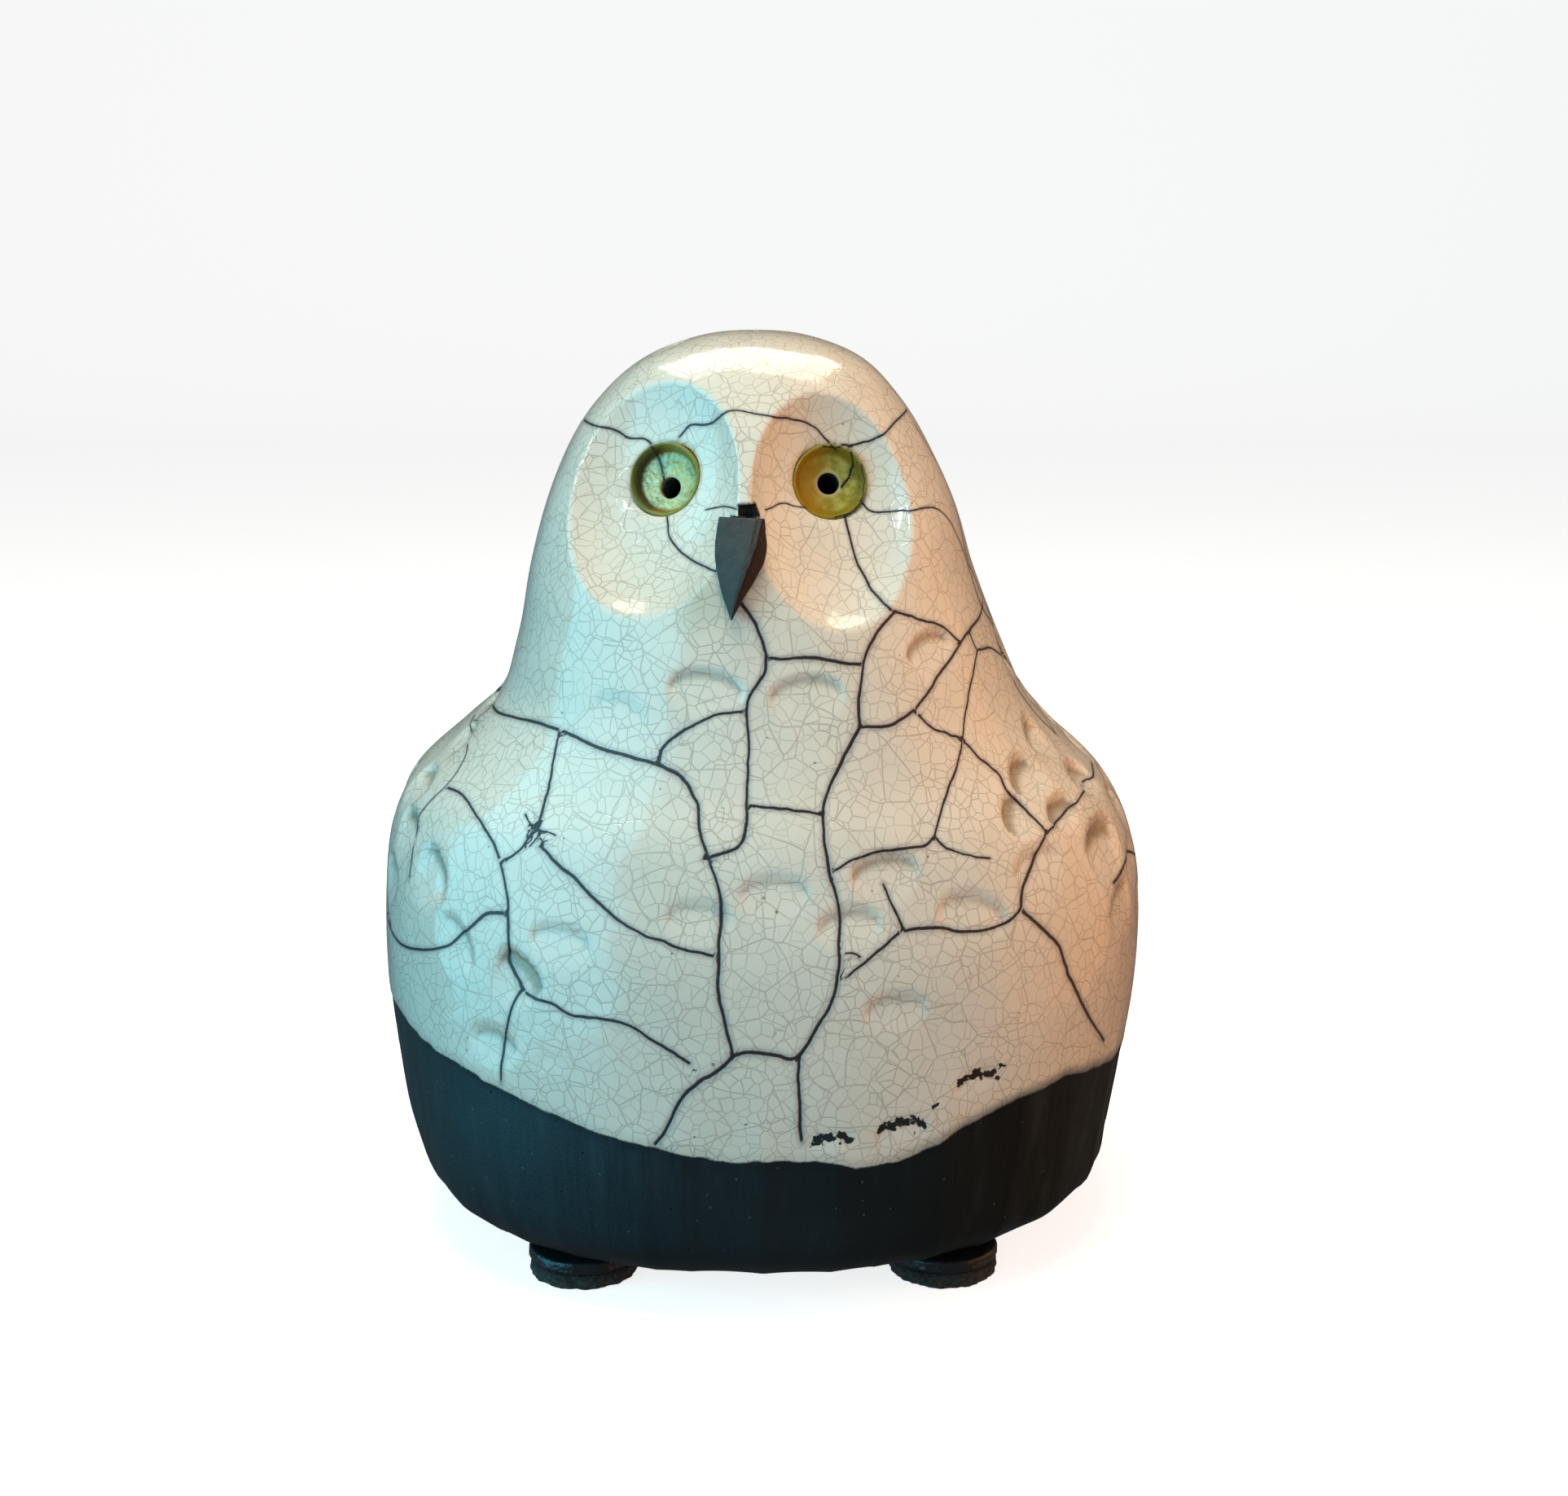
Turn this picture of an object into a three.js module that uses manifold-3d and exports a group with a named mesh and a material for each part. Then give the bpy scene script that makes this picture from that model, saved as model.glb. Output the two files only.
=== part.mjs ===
// A squat ceramic owl: a hollow crackle-glazed body with a bare smoked foot, two hollowed facial discs, two
// dished eye cups with open pupils, a clay beak let into the face, a floor slab with a vent hole, and four
// padded feet. Millimetres, +Z up, and the owl looks along -Y. The origin is on the table, under the middle
// of the body.
import * as THREE from "three";
import { mergeVertices } from "three/addons/utils/BufferGeometryUtils.js";
import Module from "manifold-3d";

const wasm = await Module();
wasm.setup();

// ---- Driving dimensions ----
const HEIGHT = 164; // table to crown
const FOOT_HEIGHT = 5.5; // rubber pad and felt together
const GAP = 0.3; // clearance between pieces that touch
const OVERRUN = 8; // how far a cutter runs out past the surface it opens
const PLAN_POWER = 2.25; // 2 is an ellipse, more is squarer
const { degToRad } = THREE.MathUtils;

// The body's outside, level by level: height, half width, half depth, and where the middle stands in x and y.
const BODY_LEVELS = [
  [FOOT_HEIGHT, 55, 52, 0, 0],
  [7.5, 59.5, 56.5, 0, 0],
  [12, 64.1, 60.5, 0.2, 0],
  [20, 66.4, 62.3, -0.4, 0],
  [33, 68.4, 63.8, -0.3, 0],
  [52, 70, 64.5, 0, 0],
  [66, 69.8, 64, 0, 0],
  [76, 67.9, 62, -0.4, 0],
  [84, 63.9, 59.5, -0.8, -0.5],
  [92, 55.2, 55, -0.7, -1.5],
  [100, 47.8, 51, -0.1, -3],
  [110, 43.7, 47.5, -0.7, -4],
  [122, 40.2, 43.5, -1.8, -4.5],
  [134, 36.8, 39, -2, -4.5],
  [144, 32.5, 33.5, -2.2, -4],
  [152, 27.3, 28, -2, -3.5],
  [159, 19.8, 20, -1.5, -3],
  [163, 9.8, 10, -0.9, -3],
  [HEIGHT, 0, 0, -0.9, -3],
];

const FLOOR = { top: 13, halfWidth: 49, halfDepth: 45, ventRadius: 6 };

// The hollow inside, level by level in the same way. It starts on the floor slab and leaves the face thick.
const CAVITY_LEVELS = [
  [FLOOR.top, 52, 48, 0, 0],
  [22, 59.5, 55, 0, 0],
  [45, 62.6, 57, 0, 0],
  [62, 62, 56, 0, 0],
  [76, 57, 52, 0, 0],
  [90, 44, 43, -0.5, 0],
  [106, 35, 34, -1, 0],
  [124, 29, 26, -1.6, 0],
  [138, 21, 19, -2, -1],
  [149, 0, 0, -2, -2],
];

// Each facial disc is a bowl pressed into the head: the middle of its rim, its radii across and up, how deep
// it is, how far its axis swings outwards and leans back, and how far its oval rolls about that axis. The eye
// stands off the bowl's middle by inward and above, its own axis swings and leans by splay and lift, and its
// pupil stands off its middle.
const FACE = {
  right: {
    side: -1,
    disc: { middle: [-18.5, -33.2, 138.4], across: 16.3, up: 22, deep: 5, splay: 28, lift: 29, roll: 19 },
    eye: { inward: 0.6, above: 4.4, splay: 21, lift: 16, pupil: [0.3, -1.1] },
  },
  left: {
    side: 1,
    disc: { middle: [12.9, -35.6, 136.4], across: 14.1, up: 21, deep: 5, splay: 16, lift: 28, roll: -8 },
    eye: { inward: 0.3, above: 6.1, splay: 7, lift: 15, pupil: [0, 0] },
  },
};

// An eye cup: its height runs from below its seat to the rim, with a flat ring round the open pupil.
const EYE = { radius: 6.4, below: 3.6, rim: 0.8, ring: -1.6, ringRadius: 4.9, pupil: 1.85 };

// The beak hangs between four rails, each given from its root down to the tip.
const BEAK_RAILS = {
  outer: [
    [-7.6, -44.5, 135.8],
    [-8.4, -46.3, 130],
    [-7.3, -48, 125],
    [-5.9, -49.2, 121.5],
    [-5.1, -49.8, 119.6],
  ],
  ridge: [
    [0, -47.5, 135.6],
    [-1.2, -50.5, 131.4],
    [-2.7, -51.6, 127.8],
    [-4.1, -51.4, 123.4],
    [-5, -50.4, 119.6],
  ],
  inner: [
    [0.6, -45, 135.5],
    [1.2, -46.5, 130],
    [-0.7, -48, 126],
    [-3.2, -49.2, 122.4],
    [-4.8, -49.8, 119.6],
  ],
  back: [
    [-3.4, -38, 134.8],
    [-3.4, -40, 129.5],
    [-3.5, -43, 125.4],
    [-4.2, -46.6, 122],
    [-5, -49.4, 119.6],
  ],
};
const TANG = { radius: 2.2, x: -3.4, z: 131.5, from: -42, to: -34 };
const KILN_GAP = { x: [-3.8, 0.2], y: [-52, -39.5], z: [135.2, 137.3] }; // a dark slot left above the beak

const PAD = { x: 32, y: 36.5, radius: 10, felt: 2.4, bevel: 0.5 };

// ---- Materials ----
function clay(color, roughness) {
  return new THREE.MeshStandardMaterial({ color, roughness, metalness: 0 });
}
const CRACKLE_GLAZE = clay(0xd9d6ca, 0.15);
const SMOKED_CLAY = clay(0x22272a, 0.6);
const EYE_GLAZE = clay(0x8f8b2e, 0.12);
const BEAK_CLAY = clay(0x35322f, 0.8);
const RUBBER = clay(0x0c0e10, 0.25);
const FELT = clay(0x100f0e, 0.95);

// ---- Solids ----
function solidOf(geometry) {
  const bare = geometry.clone();
  bare.deleteAttribute("normal");
  bare.deleteAttribute("uv");
  const merged = mergeVertices(bare, 1e-4);
  const triVerts = new Uint32Array(merged.index.array);
  const vertProperties = new Float32Array(merged.attributes.position.array);
  return new wasm.Manifold(new wasm.Mesh({ numProp: 3, vertProperties, triVerts }));
}

function geometryOf(solid) {
  const mesh = solid.getMesh();
  const geometry = new THREE.BufferGeometry();
  geometry.setAttribute("position", new THREE.BufferAttribute(mesh.vertProperties, 3));
  geometry.setIndex(new THREE.BufferAttribute(mesh.triVerts, 1));
  geometry.computeVertexNormals();
  return geometry;
}

function placed(geometry, frame) {
  frame.updateWorldMatrix(true, false);
  return geometry.clone().applyMatrix4(frame.matrixWorld);
}

function part(name, geometry, material) {
  const mesh = new THREE.Mesh(geometry, material);
  mesh.name = name;
  return mesh;
}

// A smooth run through the levels: spaced by distance, with the slope at each level set by its neighbours.
function smoothLevels(levels, steps) {
  const at = [0];
  for (let i = 1; i < levels.length; i++) {
    const [z0, a0] = levels[i - 1];
    const [z1, a1] = levels[i];
    at.push(at[i - 1] + Math.hypot(z1 - z0, a1 - a0));
  }
  const last = levels.length - 1;
  const slope = levels.map((row, i) => {
    const lo = Math.max(i - 1, 0);
    const hi = Math.min(i + 1, last);
    return row.map((_, k) => (levels[hi][k] - levels[lo][k]) / (at[hi] - at[lo]));
  });
  slope[last][0] = 0; // a closed end is level at its middle
  const rows = [];
  for (let s = 0; s <= steps; s++) {
    const u = (at[last] * s) / steps;
    const i = Math.min(at.findLastIndex((x) => x <= u), last - 1);
    const h = at[i + 1] - at[i];
    const t = (u - at[i]) / h;
    rows.push(
      levels[i].map(
        (from, k) =>
          (1 + 2 * t) * (1 - t) ** 2 * from +
          t * (1 - t) ** 2 * h * slope[i][k] +
          t * t * (3 - 2 * t) * levels[i + 1][k] +
          t * t * (t - 1) * h * slope[i + 1][k],
      ),
    );
  }
  return rows;
}

function planRing([z, halfWidth, halfDepth, x, y], around) {
  const ring = [];
  for (let j = 0; j < around; j++) {
    const angle = (2 * Math.PI * j) / around;
    const c = Math.cos(angle);
    const s = Math.sin(angle);
    ring.push([
      x + halfWidth * Math.sign(c) * Math.abs(c) ** (2 / PLAN_POWER),
      y + halfDepth * Math.sign(s) * Math.abs(s) ** (2 / PLAN_POWER),
      z,
    ]);
  }
  return ring;
}

// A closed skin over rings of equal count, from the lowest to the highest, with a fan over each end. The top
// fan meets in the crown, or in the middle of its ring where there is none.
function loft(rings, crown) {
  const around = rings[0].length;
  const points = rings.flat();
  const faces = [];
  for (let i = 0; i + 1 < rings.length; i++) {
    for (let j = 0; j < around; j++) {
      const next = (j + 1) % around;
      const [a, b] = [i * around + j, i * around + next];
      faces.push(a, b, b + around, a, b + around, a + around);
    }
  }
  const ends = [
    { start: 0, faceDown: true },
    { start: (rings.length - 1) * around, faceDown: false },
  ];
  for (const { start, faceDown } of ends) {
    const ring = points.slice(start, start + around);
    const centre = points.length;
    const middle = [0, 1, 2].map((k) => ring.reduce((sum, p) => sum + p[k], 0) / around);
    points.push(faceDown ? middle : (crown ?? middle));
    for (let j = 0; j < around; j++) {
      const [a, b] = [start + j, start + ((j + 1) % around)];
      faces.push(centre, faceDown ? b : a, faceDown ? a : b);
    }
  }
  const geometry = new THREE.BufferGeometry();
  geometry.setAttribute("position", new THREE.Float32BufferAttribute(points.flat(), 3));
  geometry.setIndex(faces);
  return geometry;
}

// A rounded vessel through the levels, closed to a point at the last of them.
function vessel(levels, steps, around) {
  const rows = smoothLevels(levels, steps);
  const [z, , , x, y] = rows.pop();
  return loft(rows.map((row) => planRing(row, around)), [x, y, z]);
}

// A solid turned about the frame's own Z axis from [radius, height] points.
function turned(points, sides) {
  const profile = points.map(([r, h]) => new THREE.Vector2(r, h));
  return new THREE.LatheGeometry(profile, sides).rotateX(Math.PI / 2);
}

function post(radius, from, to, sides) {
  return turned([[0, from], [radius, from], [radius, to], [0, to]], sides);
}

// ---- Where the face's pieces stand ----
const owl = new THREE.Group();

// A frame whose +Z points out of the head: side * splay degrees round from straight ahead, lift degrees up,
// and rolled about itself.
function outwardFrame(position, side, splay, lift, roll = 0) {
  const frame = new THREE.Group();
  frame.position.copy(position);
  frame.rotateZ(side * degToRad(splay));
  frame.rotateX(Math.PI / 2 - degToRad(lift));
  frame.rotateZ(degToRad(roll));
  owl.add(frame);
  return frame;
}

function discFrame({ side, disc }) {
  return outwardFrame(new THREE.Vector3(...disc.middle), side, disc.splay, disc.lift, disc.roll);
}

function bowlDepth(disc, across, up) {
  return disc.deep * (1 - (across / disc.across) ** 2 - (up / disc.up) ** 2);
}

function eyeFrame({ side, disc, eye }) {
  const frame = discFrame({ side, disc });
  const seat = new THREE.Vector3(-side * eye.inward, eye.above, -bowlDepth(disc, eye.inward, eye.above));
  frame.updateWorldMatrix(true, false);
  return outwardFrame(seat.applyMatrix4(frame.matrixWorld), side, eye.splay, eye.lift);
}

const discFrames = Object.fromEntries(Object.entries(FACE).map(([word, half]) => [word, discFrame(half)]));
const eyeFrames = Object.fromEntries(Object.entries(FACE).map(([word, half]) => [word, eyeFrame(half)]));

// The paraboloid that presses one disc: it touches the bowl everywhere and runs out past the face.
function discPress({ disc }) {
  const STEPS = 14;
  const REACH = 1.35; // of the rim's radii
  const points = [];
  for (let i = 0; i <= STEPS; i++) {
    const r = (REACH * i) / STEPS;
    points.push([r, -disc.deep * (1 - r * r)]);
  }
  const lid = disc.deep + OVERRUN;
  return turned([...points, [REACH, lid], [0, lid]], 44).scale(disc.across, disc.up, 1);
}

// ---- Beak ----
function beakBlock(grow) {
  const STEPS = 8;
  const rails = Object.values(BEAK_RAILS).map(
    (rail) => new THREE.CatmullRomCurve3(rail.map((p) => new THREE.Vector3(...p))),
  );
  const rings = [];
  for (let i = 0; i <= STEPS; i++) {
    const corners = rails.map((rail) => rail.getPoint(1 - i / STEPS));
    const middle = corners.reduce((sum, p) => sum.add(p), new THREE.Vector3()).divideScalar(corners.length);
    const end = i === 0 ? -grow : i === STEPS ? grow : 0;
    rings.push(
      corners.map((p) => {
        const out = p.clone().sub(middle).setZ(0).setLength(2 * grow);
        return [p.x + out.x, p.y + out.y, p.z + end];
      }),
    );
  }
  return solidOf(loft(rings));
}

function tang(grow) {
  const { radius, x, z, from, to } = TANG;
  const rod = post(radius + grow, from, to + grow, 20).rotateX(-Math.PI / 2);
  return solidOf(rod.translate(x, 0, z));
}

function beakSolid(grow = 0) {
  return beakBlock(grow).add(tang(grow));
}

// ---- Eye cups ----
function pupilBore({ eye }) {
  const CHAMFER = 0.4;
  const { below, ring, pupil } = EYE;
  const bore = turned(
    [
      [0, -below - 2 * OVERRUN],
      [pupil, -below - 2 * OVERRUN],
      [pupil, ring - CHAMFER],
      [pupil + 2 * CHAMFER, ring + CHAMFER],
      [0, ring + CHAMFER],
    ],
    24,
  );
  return bore.translate(...eye.pupil, 0);
}

function eyeCup(half) {
  const ROLL = 0.5; // the rim's rounding
  const { radius, below, rim, ring, ringRadius } = EYE;
  const cup = turned(
    [
      [0, -below],
      [radius, -below],
      [radius, rim - ROLL],
      [radius - 0.3 * ROLL, rim - 0.3 * ROLL],
      [radius - ROLL, rim],
      [ringRadius + ROLL, ring + ROLL],
      [ringRadius, ring],
      [0, ring],
    ],
    40,
  );
  return geometryOf(solidOf(cup).subtract(solidOf(pupilBore(half))));
}

// ---- Body ----
function kilnGap() {
  const [x, y, z] = [KILN_GAP.x, KILN_GAP.y, KILN_GAP.z];
  const box = new THREE.BoxGeometry(x[1] - x[0], y[1] - y[0], z[1] - z[0]);
  return box.translate((x[0] + x[1]) / 2, (y[0] + y[1]) / 2, (z[0] + z[1]) / 2);
}

function bodyShell() {
  const skin = vessel(BODY_LEVELS, 38, 72);
  const hollow = vessel(CAVITY_LEVELS, 16, 48);
  const { top, halfWidth, halfDepth } = FLOOR;
  const mouth = [FOOT_HEIGHT - OVERRUN, top + GAP].map((z) =>
    planRing([z, halfWidth + GAP, halfDepth + GAP, 0, 0], 64),
  );
  const cutters = [hollow, loft(mouth), kilnGap()];
  for (const word of Object.keys(FACE)) {
    cutters.push(placed(discPress(FACE[word]), discFrames[word]));
    cutters.push(placed(post(EYE.radius + GAP, -EYE.below - GAP, OVERRUN, 40), eyeFrames[word]));
    cutters.push(placed(pupilBore(FACE[word]), eyeFrames[word]));
  }
  const shell = cutters.reduce((solid, cutter) => solid.subtract(solidOf(cutter)), solidOf(skin));
  return geometryOf(shell.subtract(beakSolid(GAP)));
}

function floorSlab() {
  const { top, halfWidth, halfDepth, ventRadius } = FLOOR;
  const rings = [FOOT_HEIGHT, top].map((z) => planRing([z, halfWidth, halfDepth, 0, 0], 64));
  const vent = post(ventRadius, FOOT_HEIGHT - OVERRUN, top + OVERRUN, 32);
  return geometryOf(solidOf(loft(rings)).subtract(solidOf(vent)));
}

// ---- Feet ----
function padRound(from, to) {
  const { radius, bevel } = PAD;
  const points = [
    [0, from],
    [radius - bevel, from],
    [radius, from + bevel],
    [radius, to - bevel],
    [radius - bevel, to],
    [0, to],
  ];
  return turned(points, 36);
}

// ---- Assembly ----
owl.add(part("body_shell", bodyShell(), CRACKLE_GLAZE));
owl.add(part("floor_slab", floorSlab(), SMOKED_CLAY));
owl.add(part("beak", geometryOf(beakSolid()), BEAK_CLAY));
for (const [word, frame] of Object.entries(eyeFrames)) {
  frame.add(part(`eye_cup_${word}`, eyeCup(FACE[word]), EYE_GLAZE));
}
for (const [end, y] of [["front", -PAD.y], ["rear", PAD.y]]) {
  for (const [word, { side }] of Object.entries(FACE)) {
    const rubber = part(`foot_rubber_${end}_${word}`, padRound(PAD.felt + GAP, FOOT_HEIGHT - GAP), RUBBER);
    const felt = part(`foot_felt_${end}_${word}`, padRound(0, PAD.felt), FELT);
    for (const piece of [rubber, felt]) {
      piece.position.set(side * PAD.x, y, 0);
      owl.add(piece);
    }
  }
}

export default owl;
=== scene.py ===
# A hand-built raku owl: white crackle glaze over a smoke-black foot, pressed facial discs, glazed eye cups,
# a bare clay beak and felted rubber pads. Lengths in this script are millimetres until new_piece() makes a
# mesh of them in metres. The frame is the CAD model's: +Z up, the owl looks along -Y, its own left is +X.
import math
from itertools import product

import bpy
import numpy as np
from mathutils import Euler, Matrix, Vector
from mathutils.bvhtree import BVHTree
from mathutils.kdtree import KDTree


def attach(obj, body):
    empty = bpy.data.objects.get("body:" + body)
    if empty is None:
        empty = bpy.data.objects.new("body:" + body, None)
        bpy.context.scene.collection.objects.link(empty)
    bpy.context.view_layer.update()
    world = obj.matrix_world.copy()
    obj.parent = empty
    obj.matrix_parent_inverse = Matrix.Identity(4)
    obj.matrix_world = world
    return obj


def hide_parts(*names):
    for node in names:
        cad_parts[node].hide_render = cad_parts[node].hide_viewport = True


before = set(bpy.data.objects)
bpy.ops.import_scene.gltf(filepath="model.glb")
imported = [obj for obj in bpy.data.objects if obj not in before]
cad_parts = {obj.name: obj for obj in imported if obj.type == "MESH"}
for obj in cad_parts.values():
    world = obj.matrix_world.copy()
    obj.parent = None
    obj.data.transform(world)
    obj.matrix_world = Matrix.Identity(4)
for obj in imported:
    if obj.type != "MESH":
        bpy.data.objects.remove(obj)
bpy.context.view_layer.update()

MM = 0.001

# ---- The owl's sizes, as the CAD model has them ----
FOOT_HEIGHT = 5.5
PLAN_POWER = 2.25
GAP = 0.3

# Height, half width, half depth, and where the middle stands in x and y.
BODY_LEVELS = np.array([
    [FOOT_HEIGHT, 55, 52, 0, 0],
    [7.5, 59.5, 56.5, 0, 0],
    [12, 64.1, 60.5, 0.2, 0],
    [20, 66.4, 62.3, -0.4, 0],
    [33, 68.4, 63.8, -0.3, 0],
    [52, 70, 64.5, 0, 0],
    [66, 69.8, 64, 0, 0],
    [76, 67.9, 62, -0.4, 0],
    [84, 63.9, 59.5, -0.8, -0.5],
    [92, 55.2, 55, -0.7, -1.5],
    [100, 47.8, 51, -0.1, -3],
    [110, 43.7, 47.5, -0.7, -4],
    [122, 40.2, 43.5, -1.8, -4.5],
    [134, 36.8, 39, -2, -4.5],
    [144, 32.5, 33.5, -2.2, -4],
    [152, 27.3, 28, -2, -3.5],
    [159, 19.8, 20, -1.5, -3],
    [163, 9.8, 10, -0.9, -3],
    [164, 0, 0, -0.9, -3],
])
FLOOR = {"top": 13, "half_width": 49, "half_depth": 45, "vent": 6}
CAVITY_LEVELS = np.array([
    [FLOOR["top"], 52, 48, 0, 0],
    [22, 59.5, 55, 0, 0],
    [45, 62.6, 57, 0, 0],
    [62, 62, 56, 0, 0],
    [76, 57, 52, 0, 0],
    [90, 44, 43, -0.5, 0],
    [106, 35, 34, -1, 0],
    [124, 29, 26, -1.6, 0],
    [138, 21, 19, -2, -1],
    [149, 0, 0, -2, -2],
])

# Each facial disc: which side, the middle of its rim, its radii, its depth, how its axis swings and leans and
# how its oval rolls about that axis. The eye stands off the disc's middle by inward and above, on an axis of
# its own, and its pupil stands off its middle.
FACE = {
    "right": {
        "side": -1,
        "disc": {
            "middle": (-18.5, -33.2, 138.4), "across": 16.3, "up": 22, "deep": 5,
            "splay": 28, "lift": 29, "roll": 19,
        },
        "eye": {"inward": 0.6, "above": 4.4, "splay": 21, "lift": 16, "pupil": (0.3, -1.1)},
    },
    "left": {
        "side": 1,
        "disc": {
            "middle": (12.9, -35.6, 136.4), "across": 14.1, "up": 21, "deep": 5,
            "splay": 16, "lift": 28, "roll": -8,
        },
        "eye": {"inward": 0.3, "above": 6.1, "splay": 7, "lift": 15, "pupil": (0, 0)},
    },
}
EYE = {"radius": 6.4, "below": 3.6, "rim": 0.8, "ring": -1.6, "ring_radius": 4.9, "pupil": 1.85}

# The beak's four rails, each from its root to the tip.
BEAK_RAILS = {
    "outer": [
        (-7.6, -44.5, 135.8), (-8.4, -46.3, 130), (-7.3, -48, 125),
        (-5.9, -49.2, 121.5), (-5.1, -49.8, 119.6),
    ],
    "ridge": [
        (0, -47.5, 135.6), (-1.2, -50.5, 131.4), (-2.7, -51.6, 127.8),
        (-4.1, -51.4, 123.4), (-5, -50.4, 119.6),
    ],
    "inner": [
        (0.6, -45, 135.5), (1.2, -46.5, 130), (-0.7, -48, 126),
        (-3.2, -49.2, 122.4), (-4.8, -49.8, 119.6),
    ],
    "back": [
        (-3.4, -38, 134.8), (-3.4, -40, 129.5), (-3.5, -43, 125.4),
        (-4.2, -46.6, 122), (-5, -49.4, 119.6),
    ],
}
SNUG = 0.12  # the glaze closes up to this much round an eye cup
BEAK_ROOM = 0.22  # and to this much round the beak
# The dark slot above the beak's root.
KILN_GAP = {"low": (-3.8, -52, 135.2), "high": (0.2, -39.5, 137.3)}
PAD = {"x": 32, "y": 36.5, "radius": 10, "felt": 2.4}
GRAPHITE_SHEEN = 0.55  # smoke leaves a skin of carbon, which shines less than glass and more like pencil
GLASS_IOR = 1.52

# ---- Marks in the clay and the glaze ----
# The glaze's lower edge round the body: degrees round from straight ahead towards +X, and height.
GLAZE_LINE = [
    (-180, 34), (-150, 37), (-120, 41), (-90, 45), (-78, 46), (-67, 45), (-57, 43.5), (-42, 40), (-28, 36),
    (-16, 33.2), (-4, 31), (8, 31), (14, 29.2), (20, 30), (29, 34), (40, 38), (50, 39), (68, 36), (85, 34),
    (110, 37), (135, 33), (158, 31),
]

# Feathers pressed with a thumb tool, on the front: x, z, half width, length, depth and lean in degrees.
FRONT_FEATHERS = [
    (-9, 108.5, 6.4, 9, 0.9, -6), (7.5, 107.5, 6.2, 9, 0.85, 4), (28, 113, 5.4, 9, 1.1, 14),
    (2, 77, 5.8, 8, 0.75, 0), (-10.5, 73, 5.4, 7.5, 0.7, -4), (20, 79, 5.8, 8.5, 1.1, 6),
    (14.5, 71.5, 5.2, 7.5, 0.9, 4), (-33, 67.5, 5.6, 8, 0.8, -6), (-40, 61.5, 4.8, 10, 1.8, -38),
    (22, 57, 5.2, 7.5, 0.8, 4), (-45.5, 48, 4.8, 7, 1.0, -8), (-24, 104, 5.4, 8, 0.5, -10),
    (-16.5, 161, 4.4, 6, 0.9, -40),
]
# Shoulder feathers bite deepest.
SHOULDER_FEATHERS = [
    (47.5, 95.4, 4.4, 10, 1.8, 30), (44.5, 91, 4.8, 11, 2.2, 38), (42, 86.5, 3.8, 9, 1.7, 60),
    (56.2, 87.6, 5, 9, 2.1, 2), (51.2, 85, 4.8, 7, 2.2, 12), (59.5, 77.5, 7, 14, 2.3, 8),
    (53.5, 95, 3.6, 7, 1.8, 4), (58, 90, 3.4, 6, 1.4, -6), (43.5, 107, 3.2, 6, 1.1, 0),
    (64, 80, 4.6, 9, 1.5, -4), (35, 72, 6.4, 11, 0.8, -16), (46, 78, 5.6, 10, 0.7, 10),
    (63, 66, 5.4, 10, 1.4, 20),
    (-60, 86, 4.6, 11, 1.7, -22), (-62, 79, 4.8, 11, 1.6, -16), (-56, 75, 5, 12, 1.4, -44),
    (-66, 70, 4.6, 10, 1.4, -14), (-65, 83, 4.4, 10, 1.6, -4), (-47, 101, 4.6, 9, 1.6, -6),
    (-53, 93, 4, 8, 1.3, -30), (-52, 64, 5.4, 9, 0.9, -40),
]
# Sooty feathers at the foot, where the glaze missed the clay.
SOOTY_FEATHERS = [(36, 42.4, 4.6, 5, 0.7, 14), (11.5, 34, 4.2, 4, 0.5, 0), (23, 35.4, 4.6, 5, 0.7, 8)]
SOOT_SPOTS = [(28.4, 39.2), (40, 44.6)]

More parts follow.
